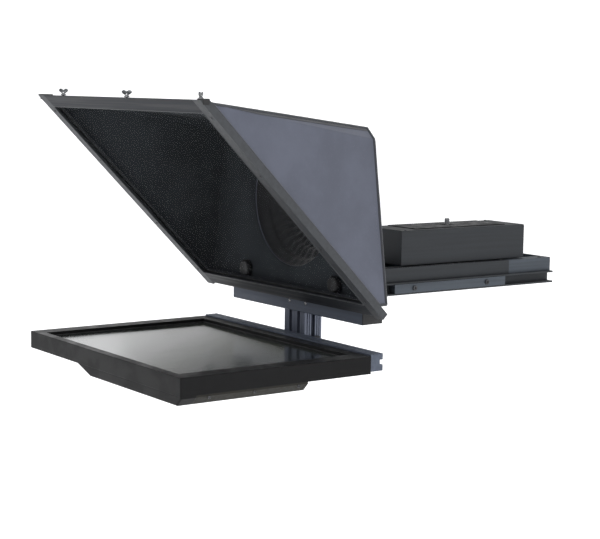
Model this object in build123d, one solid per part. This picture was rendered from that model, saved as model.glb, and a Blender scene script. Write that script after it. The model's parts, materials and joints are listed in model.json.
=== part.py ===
"""Teleprompter: a tilting beam-splitter glass with a hood over a monitor, on a rail base for a camera.

Millimetres. +Z is up, -Y points to the presenter, and the origin is the mouth of the tripod socket, in
the middle of the tripod plate's underside.
"""

from build123d import *
import os
from math import cos, radians, sin, sqrt

# ---------------------------------------------------------------- driving dimensions
# Rail base
RAIL_FRONT, RAIL_REAR = -118.0, 421.0
RAIL_INNER, RAIL_OUTER = 40.0, 70.0
RAIL_TOP = 22.0
GROOVE_DEPTH, GROOVE_LOW, GROOVE_HIGH = 14.0, 3.0, 19.0
SIDE_PLATE_Y = (36.0, 298.0)
SIDE_BOLT_Y, SIDE_BOLT_Z = (80.5, 252.0), 11.0
CROSS_BAR_Y, CROSS_BAR_Z = (395.0, 415.0), (2.0, 20.0)
TRIPOD_PLATE_HALF, TRIPOD_PLATE_TOP = 45.0, 12.0
BUSH_RADIUS, SOCKET_RADIUS = 8.0, 4.0
PLATE_CLAMP_Y = 30.0

# Camera platform: a guide channel bolted on the rails
PLATFORM_FRONT, PLATFORM_JOIN = -60.0, 315.0
PLATFORM_OUTER, PLATFORM_TOP = 62.0, 47.0
CHANNEL_HALF, CHANNEL_FLOOR, CHANNEL_ROOF, SLOT_HALF = 45.0, 28.0, 41.0, 36.0
STOP_THICK = 6.0
PLATFORM_SCREW_X, PLATFORM_SCREW_Y = 53.5, (-40.0, 60.0, 180.0, 300.0, 400.0)
SCREW_HEAD, SCREW_RISE, SCREW_SOCKET = 4.0, 1.2, 1.8

# Camera support that slides in the channel
SLIDE_CLEAR = 0.3
SLIDE_Y = (92.0, 338.0)
RISER_Y = (66.0, 362.0)
RISER_HALF, RISER_BASE, RISER_TOP, RISER_WALL = 50.0, 49.0, 111.0, 5.0
PAD_TOP = 113.0
CAMERA_SCREW_Y, CAMERA_SCREW_RADIUS, CAMERA_SCREW_NECK, CAMERA_SCREW_TIP = 214.0, 4.7625, 4.5, 124.0
RUNNING = 0.08
LEVER_Y, LEVER_Z, LEVER_LENGTH, LEVER_SHANK = 150.0, 34.5, 42.0, 4.0

# Cross beam under the rails and the post under the beam
BEAM_HALF, BEAM_FRONT, BEAM_BACK, BEAM_LOW = 191.0, -130.0, -88.0, -23.0
BEAM_BOLT_X, BEAM_BOLT_Z, BEAM_BOLT_RADIUS = (-14.0, 33.0), -6.0, 4.1
POST_X = (-35.0, 25.0)
POST_Y = (-125.0, -89.0)
POST_LOW = -138.0
POST_SLOT, POST_SLOT_DEPTH, RIB, RIB_DEPTH = 8.0, 7.0, 2.0, 1.5
POST_SLOT_X, RIB_OFFSETS = (-17.0, 7.0), (-12.5, -8.0, 8.0, 12.5)

# Glass frame: a plane that leans 45 degrees to the presenter, measured up the slope from its foot
FOOT_Y = -145.0
LEAN = radians(45.0)
SLOPE, FRAME_HALF, FRAME_THICK, BAR = 482.0, 261.0, 12.0, 27.0
SIDE_BAR = 21.0
SIDE_BAR_TOE = 5.0
GLASS_THICK, REBATE = 4.0, 6.0
TILT_Y, TILT_Z = -122.0, 9.0
EAR_X, EAR_HALF, CHEEK = 150.0, 4.0, 4.0
PIN_RADIUS = 3.0

# Hood: thin stiffened cloth panels behind the glass frame
HOOD_HALF, HOOD_SLOPE, HOOD_DEPTH = 258.0, 462.0, 12.3
HOOD_REAR_Y = -133.0
HOOD_SHOULDER, HOOD_HIP = (198.0, 297.0), (217.0, 280.0)
HOOD_FOOT = (257.0, 20.0)
PANEL = 3.0
LENS_Z, LENS_HOLE, SHROUD_MOUTH, SHROUD_REAR = 170.0, 115.0, 62.0, -62.0
KNOB_X, KNOB_Z, KNOB_FRONT, KNOB_RADIUS, KNOB_SHANK = 132.0, 38.0, -148.3, 15.0, 3.0
THUMB_X, THUMB_TURN, THUMB_Y = (-189.0, 27.0, 245.0), (35.0, 80.0, 125.0), -474.0
THUMB_SHANK, THUMB_DEPTH = 2.0, 8.0

# Monitor, face up under the glass
MONITOR_HALF, MONITOR_FRONT, MONITOR_BACK = 250.0, -508.0, -154.5
MONITOR_TOP, MONITOR_LOW = -62.5, -91.0
BEZEL_DEPTH, BEZEL_SIDE, BEZEL_FRONT, BEZEL_REAR, WALL = 6.5, 31.0, 15.0, 22.5, 3.0
HOUSING_X, HOUSING_Y, HOUSING_LOW = (-79.0, 250.0), (-481.0, -279.0), -106.0
HOUSING_SLANT, HOUSING_BEVEL, HOUSING_WALL = 46.0, 12.0, 2.5
CORNER, TOP_EDGE = 2.5, 0.8
BOSS_X, BOSS_Y, BOSS_RADIUS = (-200.0, 200.0), (-460.0, -200.0), 5.0
BOARD_Y, BOARD_THICK = (-470.0, -310.0), 1.6
DISPLAY_LOW, BACKLIGHT_LOW = -72.0, -79.0
BUTTON_X, POWER_X, BUTTON_Y, BUTTON_RADIUS = (20.0, 50.0, 80.0), 130.0, -495.0, 4.0
DC_X, BNC_X, SOCKET_Z, BNC_RADIUS, DC_BORE = 140.0, 100.0, -97.5, 4.8, 2.75
RAIL_BAR_Y, RAIL_BAR_Z = (-154.5, -130.4), (-88.0, -60.0)
CARRIAGE_KNOB_Y, CARRIAGE_KNOB_Z = -107.0, -85.0
CARRIAGE_X, CARRIAGE_Z = (-76.0, 66.0), (-104.0, -66.0)
CARRIAGE_BOLT_X, CARRIAGE_BOLT_Z = (-64.0, 54.0), -74.0

FRAME_TOP = SLOPE / sqrt(2)
FRAME_PLANE = Plane(origin=(0, FOOT_Y, 0), x_dir=(1, 0, 0), z_dir=(0, -sin(LEAN), -cos(LEAN)))
PARTS = {}


# ---------------------------------------------------------------- helpers
def block(x, y, z):
    """A box between pairs of limits along X, Y and Z."""
    size = [high - low for low, high in (x, y, z)]
    middle = [(high + low) / 2 for low, high in (x, y, z)]
    return Pos(*middle) * Box(*size)


def rod(axis, start, radius, length):
    """A cylinder from start, running the given length along +X, +Y or +Z."""
    turn = {"x": (0, 90, 0), "y": (-90, 0, 0), "z": (0, 0, 0)}[axis]
    base = Cylinder(radius, length, align=(Align.CENTER, Align.CENTER, Align.MIN))
    return Pos(*start) * Rot(*turn) * base


def sloped(shape):
    """Put a shape made in frame coordinates (X, up the slope, forwards) on the leaning plane."""
    return FRAME_PLANE.location * shape


def sloped_block(x, slope, depth):
    """A box in the glass frame: depth is measured from its front plane back into the hood."""
    return sloped(block(x, slope, (-depth[1], -depth[0])))


def carry_x(points, x):
    """Extrude a (Y, Z) polygon from the lower to the higher X."""
    face = Face(Wire.make_polygon([Vector(x[0], py, pz) for py, pz in points], close=True))
    return extrude(face, amount=x[1] - x[0], dir=(1, 0, 0))


def carry_y(points, y):
    """Extrude an (X, Z) polygon from the lower to the higher Y."""
    face = Face(Wire.make_polygon([Vector(px, y[0], pz) for px, pz in points], close=True))
    return extrude(face, amount=y[1] - y[0], dir=(0, 1, 0))


def carry_z(points, z):
    """Extrude an (X, Y) polygon from the lower to the higher Z."""
    face = Face(Wire.make_polygon([Vector(px, py, z[0]) for px, py in points], close=True))
    return extrude(face, amount=z[1] - z[0], dir=(0, 0, 1))


def group(*shapes):
    """Several separate solids that share one node."""
    solids = [solid for shape in shapes for solid in shape.solids()]
    return Compound(children=solids)


def span(side, near, far):
    """Limits along X of something between two distances from the middle, on one side."""
    return tuple(sorted((side * near, side * far)))


def cap_bolt(axis, start, radius, head, shank):
    """A socket cap bolt: head outwards along the positive axis from start, shank the other way."""
    offset = {"x": (1, 0, 0), "y": (0, 1, 0), "z": (0, 0, 1)}[axis]
    tip = [s - shank * o for s, o in zip(start, offset)]
    body = rod(axis, tip, radius, shank) + rod(axis, start, radius * 1.7, head)
    deep = [s + head * 0.45 * o for s, o in zip(start, offset)]
    return body - rod(axis, deep, radius * 0.8, head)


def keep(name, shape):
    """Record a node under its own name."""
    PARTS[name] = shape


# ---------------------------------------------------------------- base
def rail(side):
    """One side rail: a bar with a wide groove along its outer face."""
    bar = block(span(side, RAIL_INNER, RAIL_OUTER), (RAIL_FRONT, RAIL_REAR), (0, RAIL_TOP))
    groove = block(
        span(side, RAIL_OUTER - GROOVE_DEPTH, RAIL_OUTER + 1),
        (RAIL_FRONT - 1, RAIL_REAR + 1),
        (GROOVE_LOW, GROOVE_HIGH),
    )
    return bar - groove


def side_plate(side):
    """The light plate that fills part of the groove, with its two bolt holes."""
    x = span(side, RAIL_OUTER - GROOVE_DEPTH + 0.02, RAIL_OUTER + 1)
    body = block(x, SIDE_PLATE_Y, (GROOVE_LOW + 0.02, GROOVE_HIGH - 0.02))
    for y in SIDE_BOLT_Y:
        start = -80 if side < 0 else 50
        body -= rod("x", (start, y, SIDE_BOLT_Z), 2.6, 30)
    return body


def side_plate_bolts():
    """Two button-head bolts on each side plate."""
    bolts = []
    for side in (-1, 1):
        for y in SIDE_BOLT_Y:
            face = side * (RAIL_OUTER + 1)
            shank = rod("x", (min(face, face - side * 14), y, SIDE_BOLT_Z), 2.4, 14)
            head = rod("x", (min(face, face + side * 2.5), y, SIDE_BOLT_Z), 4.5, 2.5)
            socket = rod("x", (min(face + side, face + side * 2.6), y, SIDE_BOLT_Z), 2.0, 1.6)
            bolts.append(shank + head - socket)
    return group(*bolts)


def tripod_plate():
    """Cross plate between the rails with a pressed-in socket and a registration hole."""
    half = RAIL_INNER
    body = block((-half, half), (-TRIPOD_PLATE_HALF, TRIPOD_PLATE_HALF), (0, TRIPOD_PLATE_TOP))
    body -= rod("z", (0, 0, -1), BUSH_RADIUS, 20)
    return body - rod("z", (0, PLATE_CLAMP_Y, -1), 2.5, 20)


def tripod_bush():
    """Steel bush that takes the tripod screw."""
    body = rod("z", (0, 0, 0), BUSH_RADIUS, TRIPOD_PLATE_TOP)
    return body - rod("z", (0, 0, -1), SOCKET_RADIUS, 20)


def rear_cross_bar():
    """Bar that ties the rails together at their rear end."""
    return block((-RAIL_INNER, RAIL_INNER), CROSS_BAR_Y, CROSS_BAR_Z)


def channel(y):
    """A length of the camera platform: a T-slot channel open at the top."""
    outer = PLATFORM_OUTER
    body = block((-outer, outer), y, (RAIL_TOP, PLATFORM_TOP))
    body -= block((-CHANNEL_HALF, CHANNEL_HALF), (y[0] - 1, y[1] + 1), (CHANNEL_FLOOR, CHANNEL_ROOF))
    return body - block((-SLOT_HALF, SLOT_HALF), (y[0] - 1, y[1] + 1), (CHANNEL_ROOF - 1, PLATFORM_TOP + 1))


def platform_screws():
    """Flat-head screws through the platform's shoulders into the rails, from above."""
    screws = []
    for side in (-1, 1):
        for y in PLATFORM_SCREW_Y:
            x = side * PLATFORM_SCREW_X
            head = rod("z", (x, y, PLATFORM_TOP), SCREW_HEAD, SCREW_RISE)
            screws.append(head - rod("z", (x, y, PLATFORM_TOP + SCREW_RISE / 3), SCREW_SOCKET, SCREW_RISE))
    return group(*screws)


def beam():
    """Cross beam under the rails: an upright bar with a shallow foot behind it."""
    body = block((-BEAM_HALF, BEAM_HALF), (BEAM_FRONT, BEAM_BACK), (BEAM_LOW, 0))
    body = chamfer(body.edges().filter_by(Axis.X).group_by(Axis.Y)[0], 1.0)
    for side in (-1, 1):
        body -= block(span(side, 60, BEAM_HALF + 1), (-118, BEAM_BACK + 1), (BEAM_LOW - 1, -6))
    for x in BEAM_BOLT_X:
        body -= rod("y", (x, BEAM_FRONT - 1, BEAM_BOLT_Z), BEAM_BOLT_RADIUS + 0.1, 7)
    return body


def beam_bolts():
    """Two socket bolts sunk in the beam's front face."""
    bolts = []
    for x in BEAM_BOLT_X:
        body = rod("y", (x, BEAM_FRONT + 1, BEAM_BOLT_Z), BEAM_BOLT_RADIUS, 5)
        bolts.append(body - rod("y", (x, BEAM_FRONT, BEAM_BOLT_Z), 2.2, 4))
    return group(*bolts)


def post():
    """Ribbed extrusion with T-slots, hanging under the beam."""
    x0, x1 = POST_X
    y0, y1 = POST_Y
    z = (POST_LOW, BEAM_LOW)
    body = block(POST_X, POST_Y, z)
    cut_z = (POST_LOW - 1, BEAM_LOW + 1)
    for x in POST_SLOT_X:
        for face, deep in ((y0, y0 + POST_SLOT_DEPTH), (y1, y1 - POST_SLOT_DEPTH)):
            outside = face - 1 if deep > face else face + 1
            half = POST_SLOT / 2
            body -= block((x - half, x + half), tuple(sorted((outside, deep))), cut_z)
    middle = (y0 + y1) / 2
    for face, inward in ((x0, 1), (x1, -1)):
        slot = tuple(sorted((face - inward, face + inward * POST_SLOT_DEPTH)))
        body -= block(slot, (middle - POST_SLOT / 2, middle + POST_SLOT / 2), cut_z)
        for offset in RIB_OFFSETS:
            rib = tuple(sorted((face - inward, face + inward * RIB_DEPTH)))
            body -= block(rib, (middle + offset - RIB / 2, middle + offset + RIB / 2), cut_z)
    return body


def hinge_yokes():
    """Two clevis brackets on the beam that hold the glass frame's ears."""
    yokes = []
    for side in (-1, 1):
        inner = EAR_HALF + 0.3
        for cheek in (-1, 1):
            x = span(cheek, inner, inner + CHEEK)
            x = tuple(side * EAR_X + v for v in x)
            wall = carry_x([(-129.5, 0.0), (-112, 0.0), (-114, TILT_Z + 6.5), (-128, TILT_Z + 6.5)], x)
            yokes.append(wall - rod("x", (x[0] - 1, TILT_Y, TILT_Z), PIN_RADIUS, CHEEK + 2))
    return group(*yokes)


def hinge_pins():
    """The two fixed pins that the glass frame turns on."""
    long = EAR_HALF + 0.3 + CHEEK
    return group(*[rod("x", (side * EAR_X - long, TILT_Y, TILT_Z), PIN_RADIUS, 2 * long) for side in (-1, 1)])


# ---------------------------------------------------------------- glass frame
def bar_across(slope):
    """A bar of the frame along X, rebated at the front for the glass."""
    inner = FRAME_HALF - SIDE_BAR
    body = sloped_block((-inner, inner), slope, (0, FRAME_THICK))
    low = slope[0] == 0
    lip = (slope[1] - REBATE, slope[1] + 1) if low else (slope[0] - 1, slope[0] + REBATE)
    return body - sloped_block((-inner - 1, inner + 1), lip, (3, 3 + GLASS_THICK + 1))


def bottom_bar():
    """Lower bar of the glass frame, with the two hinge ears behind it."""
    body = bar_across((0, BAR))
    for side in (-1, 1):
        x = (side * EAR_X - EAR_HALF, side * EAR_X + EAR_HALF)
        web = carry_x([(-146.8, 17.3), (-154.8, 25.3), (TILT_Y - 1, TILT_Z + 6), (TILT_Y - 1, TILT_Z - 6)], x)
        eye = rod("x", (x[0], TILT_Y, TILT_Z), 6.0, 2 * EAR_HALF)
        bore = rod("x", (x[0] - 1, TILT_Y, TILT_Z), PIN_RADIUS + RUNNING, 2 * EAR_HALF + 2)
        body = body + web + eye - bore
    return body


def level_top(body, screws):
    """Cut a bar off level with its front top edge, and bore it for the thumb screws at the given X."""
    body -= block((-FRAME_HALF - 1, FRAME_HALF + 1), (-520, -430), (FRAME_TOP, FRAME_TOP + 40))
    for x in screws:
        body -= rod("z", (x, THUMB_Y, FRAME_TOP - THUMB_DEPTH - 1), THUMB_SHANK + RUNNING, 20)
    return body


def top_bar():
    """Upper bar, level on top, with holes for two of the thumb screws."""
    return level_top(bar_across((SLOPE - BAR, SLOPE)), THUMB_X[:2])


def side_bar(side):
    """Side bar of the frame; its toe reaches just below the bottom bar."""
    x = span(side, FRAME_HALF - SIDE_BAR, FRAME_HALF)
    body = sloped_block(x, (-SIDE_BAR_TOE, SLOPE), (0, FRAME_THICK))
    inner = FRAME_HALF - SIDE_BAR
    body -= sloped_block(span(side, inner - 1, inner + REBATE), (0, SLOPE - 14), (3, 3 + GLASS_THICK + 1))
    return level_top(body, THUMB_X[2:] if side > 0 else ())


def glass():
    """The beam-splitter glass, held in the bars' rebate."""
    half = FRAME_HALF - SIDE_BAR + REBATE - 1
    slope = (BAR - REBATE + 1, SLOPE - BAR + REBATE - 1)
    return sloped_block((-half, half), slope, (3, 3 + GLASS_THICK))


def gasket():
    """Soft strip behind the glass, round its edge."""
    half = FRAME_HALF - SIDE_BAR + REBATE - 1
    slope = (BAR - REBATE + 1, SLOPE - BAR + REBATE - 1)
    depth = (3 + GLASS_THICK, 4 + GLASS_THICK)
    ring = sloped_block((-half, half), slope, depth)
    return ring - sloped_block((-half + 4, half - 4), (slope[0] + 4, slope[1] - 4), (0, FRAME_THICK))


def corner_plates():
    """Mending plates that tie the bars together from behind, one at each corner."""
    plates = []
    for side in (-1, 1):
        for slope in ((2.0, 15.0), (SLOPE - 18, SLOPE - FRAME_THICK - 2.5)):
            body = sloped_block(span(side, 205, HOOD_HALF - 3), slope, (FRAME_THICK, FRAME_THICK + 2))
            plates.append(body)
    return group(*plates)


def thumb_screw(x, turn):
    """Thumb screw standing in the frame's level top: shank, collar and a flat wing turned about the screw."""
    shank = rod("z", (0, 0, FRAME_TOP - THUMB_DEPTH), THUMB_SHANK, THUMB_DEPTH + 0.3)
    collar = rod("z", (0, 0, FRAME_TOP + 0.3), 4.3, 3.0)
    wing = block((-8.5, 8.5), (-1.2, 1.2), (FRAME_TOP + 3.3, FRAME_TOP + 12.5))
    wing = fillet(wing.edges().filter_by(Axis.Y), 3)
    return Pos(x, THUMB_Y, 0) * Rot(0, 0, turn) * (shank + collar + wing)


def frame_point(x, slope, depth):
    """A point of the glass frame in space."""
    back = depth / sqrt(2)
    return (x, FOOT_Y - slope / sqrt(2) + back, slope / sqrt(2) + back)


# ---------------------------------------------------------------- hood
def outer_planes(inset):
    """The planes that bound the hood outside, each moved inwards by the inset."""
    middle = Vector(0, -250, 200)
    front_y, front_z = frame_point(0, HOOD_SLOPE, HOOD_DEPTH)[1:]
    left = [Vector(-HOOD_HALF, front_y, front_z), Vector(HOOD_HALF, front_y, front_z)]
    faces = [(left[0], left[1], Vector(0, HOOD_REAR_Y, HOOD_SHOULDER[1]))]
    faces.append((Vector(0, HOOD_REAR_Y, 0), Vector(1, HOOD_REAR_Y, 0), Vector(0, HOOD_REAR_Y, 1)))
    for side in (-1, 1):
        front = Vector(side * HOOD_HALF, front_y, front_z)
        shoulder = Vector(side * HOOD_SHOULDER[0], HOOD_REAR_Y, HOOD_SHOULDER[1])
        hip = Vector(side * HOOD_HIP[0], HOOD_REAR_Y, HOOD_HIP[1])
        foot = Vector(side * HOOD_FOOT[0], HOOD_REAR_Y, HOOD_FOOT[1])
        faces += [(front, shoulder, hip), (front, hip, foot)]
    planes = []
    for a, b, c in faces:
        normal = (b - a).cross(c - a).normalized()
        if normal.dot(middle - a) > 0:
            normal = normal * -1
        planes.append(Plane(origin=a - normal * inset, z_dir=normal))
    return planes


def cut_by(body, planes):
    """Keep what lies behind every plane."""
    for plane in planes:
        body = split(body, bisect_by=plane, keep=Keep.BOTTOM)
    return body


def hood_panels():
    """The hood as four panels: top, left and right with their folded facets, and the rear."""
    room = block((-300, 300), (-520, -100), (HOOD_FOOT[1], 400))
    behind_frame = Plane(origin=frame_point(0, 0, HOOD_DEPTH), z_dir=(0, -1, -1))
    outer = cut_by(room, outer_planes(0) + [behind_frame])
    inner = cut_by(block((-300, 300), (-540, -100), (-50, 400)), outer_planes(PANEL))
    shell = outer - inner
    rear = shell & block((-300, 300), (HOOD_REAR_Y - PANEL, -100), (0, 400))
    rear -= rod("y", (0, HOOD_REAR_Y - 10, LENS_Z), LENS_HOLE, 20)
    for side in (-1, 1):
        rear -= rod("y", (side * KNOB_X, HOOD_REAR_Y - 10, KNOB_Z), 3.5, 20)
    rest = shell - block((-300, 300), (HOOD_REAR_Y - PANEL, -100), (0, 400))
    front_y = frame_point(0, HOOD_SLOPE, HOOD_DEPTH)[1]
    shoulder = HOOD_SHOULDER[0]
    outline = [
        (-HOOD_HALF, front_y - 60), (-HOOD_HALF, front_y), (-shoulder, HOOD_REAR_Y),
        (shoulder, HOOD_REAR_Y), (HOOD_HALF, front_y), (HOOD_HALF, front_y - 60),
    ]
    edge = carry_z(outline, (250, 400))
    top = rest & edge
    sides = (rest - edge).solids().sort_by(Axis.X)
    return top, sides[0], sides[-1], rear


def shroud_hoop():
    """Ring on the rear panel that holds the shroud."""
    body = rod("y", (0, HOOD_REAR_Y, LENS_Z), LENS_HOLE + 8, 4)
    return body - rod("y", (0, HOOD_REAR_Y - 1, LENS_Z), LENS_HOLE + 3, 6)


def lens_shroud():
    """Soft sleeve that narrows from the hoop to an elastic mouth round the lens."""
    rim, mouth, thick = LENS_HOLE + 2.7, SHROUD_MOUTH, 2.0
    start = HOOD_REAR_Y
    outline = [
        (rim - thick, start), (rim, start), (rim, start + 4.5), (mouth + thick, SHROUD_REAR),
        (mouth, SHROUD_REAR), (rim - thick, start + 4.0),
    ]
    face = Face(Wire.make_polygon([Vector(r, y, 0) for r, y in outline], close=True))
    return Pos(0, 0, LENS_Z) * revolve(face, axis=Axis.Y, revolution_arc=360)


def hood_clamp_plates():
    """Nut plates on the back of the rear panel for the two hood knobs."""
    plates = []
    for side in (-1, 1):
        x = span(side, KNOB_X - 14, KNOB_X + 14)
        body = block(x, (HOOD_REAR_Y, HOOD_REAR_Y + 4), (KNOB_Z - 13, KNOB_Z + 13))
        plates.append(body - rod("y", (side * KNOB_X, HOOD_REAR_Y - 1, KNOB_Z), KNOB_SHANK + RUNNING, 6))
    return group(*plates)


def grip(axis, start, radius, length, lobes):
    """A round grip with scallops cut in its rim."""
    body = rod(axis, start, radius, length)
    for i in range(lobes):
        turn = radians(360 * i / lobes)
        u, v = radius * 1.12 * cos(turn), radius * 1.12 * sin(turn)
        x, y, z = start
        place = {"x": (x - 1, y + u, z + v), "y": (x + u, y - 1, z + v), "z": (x + u, y + v, z - 1)}[axis]
        body -= rod(axis, place, radius * 0.24, length + 2)
    return body


def hood_knob(side):
    """Knob inside the hood that clamps the rear panel to its plate."""
    shank = rod("y", (side * KNOB_X, KNOB_FRONT + 9, KNOB_Z), KNOB_SHANK, HOOD_REAR_Y + 6 - KNOB_FRONT - 9)
    return grip("y", (side * KNOB_X, KNOB_FRONT, KNOB_Z), KNOB_RADIUS, 9.5, 8) + shank


def tilt_knob():
    """Knurled nut on the end of the near hinge pin that locks the tilt."""
    start = EAR_X + EAR_HALF + 0.3 + CHEEK + 0.3
    body = grip("x", (start, TILT_Y, TILT_Z), 8.4, 16, 12)
    return body - rod("x", (start - 1, TILT_Y, TILT_Z), PIN_RADIUS + RUNNING, 11)


# ---------------------------------------------------------------- monitor
def bezel():
    """Front frame of the monitor: a downturned tray with rounded corners and the screen window in it."""
    x = (-MONITOR_HALF, MONITOR_HALF)
    body = block(x, (MONITOR_FRONT, MONITOR_BACK), (MONITOR_LOW, MONITOR_TOP))
    body = fillet(body.edges().filter_by(Axis.Z), CORNER)
    body = fillet(body.edges().group_by(Axis.Z)[-1], TOP_EDGE)
    inside = (x[0] + WALL, x[1] - WALL)
    inside_y = (MONITOR_FRONT + WALL, MONITOR_BACK - WALL)
    body -= block(inside, inside_y, (MONITOR_LOW - 1, MONITOR_TOP - BEZEL_DEPTH))
    window = (x[0] + BEZEL_SIDE, x[1] - BEZEL_SIDE)
    window_y = (MONITOR_FRONT + BEZEL_FRONT, MONITOR_BACK - BEZEL_REAR)
    return body - block(window, window_y, (MONITOR_LOW, MONITOR_TOP + 1))


def monitor_layer(margin, low, high):
    """A flat layer inside the bezel, set in from the monitor's outline by a margin."""
    x = (-MONITOR_HALF + margin, MONITOR_HALF - margin)
    return block(x, (MONITOR_FRONT + margin, MONITOR_BACK - margin), (low, high))


def back_cover():
    """Back of the monitor, with bosses that carry the backlight."""
    body = monitor_layer(WALL + 0.2, MONITOR_LOW, MONITOR_LOW + 2.5)
    for x in BOSS_X:
        for y in BOSS_Y:
            body += rod("z", (x, y, MONITOR_LOW + 2), BOSS_RADIUS, BACKLIGHT_LOW - MONITOR_LOW - 2)
    return body


def housing_outline(inset):
    """(X, Z) outline of the housing under the monitor, with both flanks bevelled."""
    x0, x1 = HOUSING_X
    low = HOUSING_LOW + inset
    top = MONITOR_LOW + (1 if inset else 0)
    left = [(x0 + 2.5 * inset, top), (x0 + HOUSING_SLANT, low)]
    return left + [(x1 - HOUSING_BEVEL, low), (x1 - inset, low + HOUSING_BEVEL), (x1 - inset, top)]


def electronics_housing():
    """Tray under the monitor for its boards, with socket cut-outs in the rear wall."""
    y0, y1 = HOUSING_Y
    inside = carry_y(housing_outline(HOUSING_WALL), (y0 + HOUSING_WALL, y1 - HOUSING_WALL))
    body = carry_y(housing_outline(0), (y0, y1)) - inside
    for x, radius in ((DC_X, 4.3), (BNC_X, 5.0)):
        body -= rod("y", (x, y1 - 5, SOCKET_Z), radius, 10)
    return body


def control_bar():
    """Bar under the presenter's edge of the monitor, with holes for the buttons."""
    y0, y1 = MONITOR_FRONT, HOUSING_Y[0]
    body = carry_y(housing_outline(0), (y0, y1))
    front = body.edges().group_by(Axis.Y)[0].sort_by(Axis.Z)[:-1]
    body = fillet(front, CORNER)
    body -= carry_y(housing_outline(HOUSING_WALL), (y0 + HOUSING_WALL, y1 - HOUSING_WALL))
    for x in BUTTON_X + (POWER_X,):
        body -= rod("z", (x, BUTTON_Y, HOUSING_LOW - 1), BUTTON_RADIUS + 0.15, 5)
    return body


def button(x):
    """A push button: cap below the bar, flange inside it."""
    cap = rod("z", (x, BUTTON_Y, HOUSING_LOW - 1.4), BUTTON_RADIUS, 4.5)
    cap = chamfer(cap.edges().group_by(Axis.Z)[0], 0.4)
    return cap + rod("z", (x, BUTTON_Y, HOUSING_LOW + 2.6), BUTTON_RADIUS + 1.2, 1.5)


def board(x, chips):
    """A circuit board with a few components, each given as X, Y, half width and height."""
    low = HOUSING_LOW + 4
    body = block(x, BOARD_Y, (low, low + BOARD_THICK))
    for cx, cy, size, tall in chips:
        body += block((cx - size, cx + size), (cy - size, cy + size), (low + 1, low + BOARD_THICK + tall))
    return body


def dc_socket():
    """Power inlet: a bored barrel on a square body."""
    body = block((DC_X - 5, DC_X + 5), (HOUSING_Y[1] - 14, HOUSING_Y[1] - 2.6), (SOCKET_Z - 5, SOCKET_Z + 5))
    body += rod("y", (DC_X, HOUSING_Y[1] - 3, SOCKET_Z), 4.2, 4)
    return body - rod("y", (DC_X, HOUSING_Y[1] - 10, SOCKET_Z), DC_BORE, 20)


def bnc_socket():
    """Video socket: a bayonet barrel on a square body."""
    y = HOUSING_Y[1]
    body = block((BNC_X - 5.5, BNC_X + 5.5), (y - 14, y - 2.6), (SOCKET_Z - 5.2, SOCKET_Z + 5.2))
    body += rod("y", (BNC_X, y - 3, SOCKET_Z), BNC_RADIUS - 0.3, 4)
    body += rod("y", (BNC_X, y + 0.5, SOCKET_Z), BNC_RADIUS, 8.5)
    body -= rod("y", (BNC_X, y - 1, SOCKET_Z), 4.1, 12)
    return body + rod("y", (BNC_X, y - 2, SOCKET_Z), 1.2, 8)


def rear_rail():
    """Ribbed rail along the monitor's rear edge."""
    body = block((-MONITOR_HALF + 2, MONITOR_HALF - 2), RAIL_BAR_Y, RAIL_BAR_Z)
    x = (-MONITOR_HALF, MONITOR_HALF)
    for y in (-149.0, -142.0, -136.0):
        body -= block(x, (y - 1, y + 1), (RAIL_BAR_Z[1] - 1.5, RAIL_BAR_Z[1] + 1))
    return body - block(x, (RAIL_BAR_Y[1] - 6, RAIL_BAR_Y[1] + 1), (-78, -70))


def carriage():
    """Bracket that wraps the post and carries the rear rail, with a tongue in the post's slot."""
    back = POST_Y[0] - 0.3
    body = block(CARRIAGE_X, (RAIL_BAR_Y[1], back), CARRIAGE_Z)
    for x in ((POST_X[0] - 6.3, POST_X[0] - 0.3), (POST_X[1] + 0.3, POST_X[1] + 6.3)):
        body += block(x, (RAIL_BAR_Y[1], -96), CARRIAGE_Z)
    body += block((-20.7, -13.3), (back - 1, back + 6), CARRIAGE_Z)
    body -= rod("x", (POST_X[1], CARRIAGE_KNOB_Y, CARRIAGE_KNOB_Z), KNOB_SHANK + RUNNING, 10)
    for x in CARRIAGE_BOLT_X:
        body -= rod("y", (x, RAIL_BAR_Y[1] - 1, CARRIAGE_BOLT_Z), 2.6, 10)
    return body


def carriage_bolts():
    """Bolts that hold the carriage to the rear rail's slot."""
    back = POST_Y[0] - 0.3
    return group(*[cap_bolt("y", (x, back, CARRIAGE_BOLT_Z), 2.5, 4, 9) for x in CARRIAGE_BOLT_X])


def carriage_knob():
    """Clamp knob that locks the carriage on the post."""
    start = POST_X[1] + 6.8
    shank = rod("x", (POST_X[1] - 5, CARRIAGE_KNOB_Y, CARRIAGE_KNOB_Z), KNOB_SHANK, 13)
    return grip("x", (start, CARRIAGE_KNOB_Y, CARRIAGE_KNOB_Z), 14, 14, 6) + shank


# ---------------------------------------------------------------- camera support
def slide_plate():
    """T-shaped plate in the channel that carries the riser."""
    clear = SLIDE_CLEAR
    height = (CHANNEL_FLOOR + clear, CHANNEL_ROOF - clear)
    wide = block((-CHANNEL_HALF + clear, CHANNEL_HALF - clear), SLIDE_Y, height)
    neck = block((-SLOT_HALF + clear, SLOT_HALF - clear), SLIDE_Y, (CHANNEL_ROOF - 2, RISER_BASE))
    return wide + neck


def riser():
    """Block under the camera, hollow from below."""
    wall = RISER_WALL
    half = RISER_HALF
    body = block((-half, half), RISER_Y, (RISER_BASE, RISER_TOP))
    body = chamfer(body.edges().filter_by(Axis.Y).group_by(Axis.Z)[-1], 2)
    inside = (RISER_Y[0] + wall, RISER_Y[1] - wall)
    body -= block((-half + wall, half - wall), inside, (RISER_BASE - 1, RISER_TOP - wall))
    return body - rod("z", (0, CAMERA_SCREW_Y, RISER_TOP - 10), CAMERA_SCREW_RADIUS + RUNNING, 20)


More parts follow.
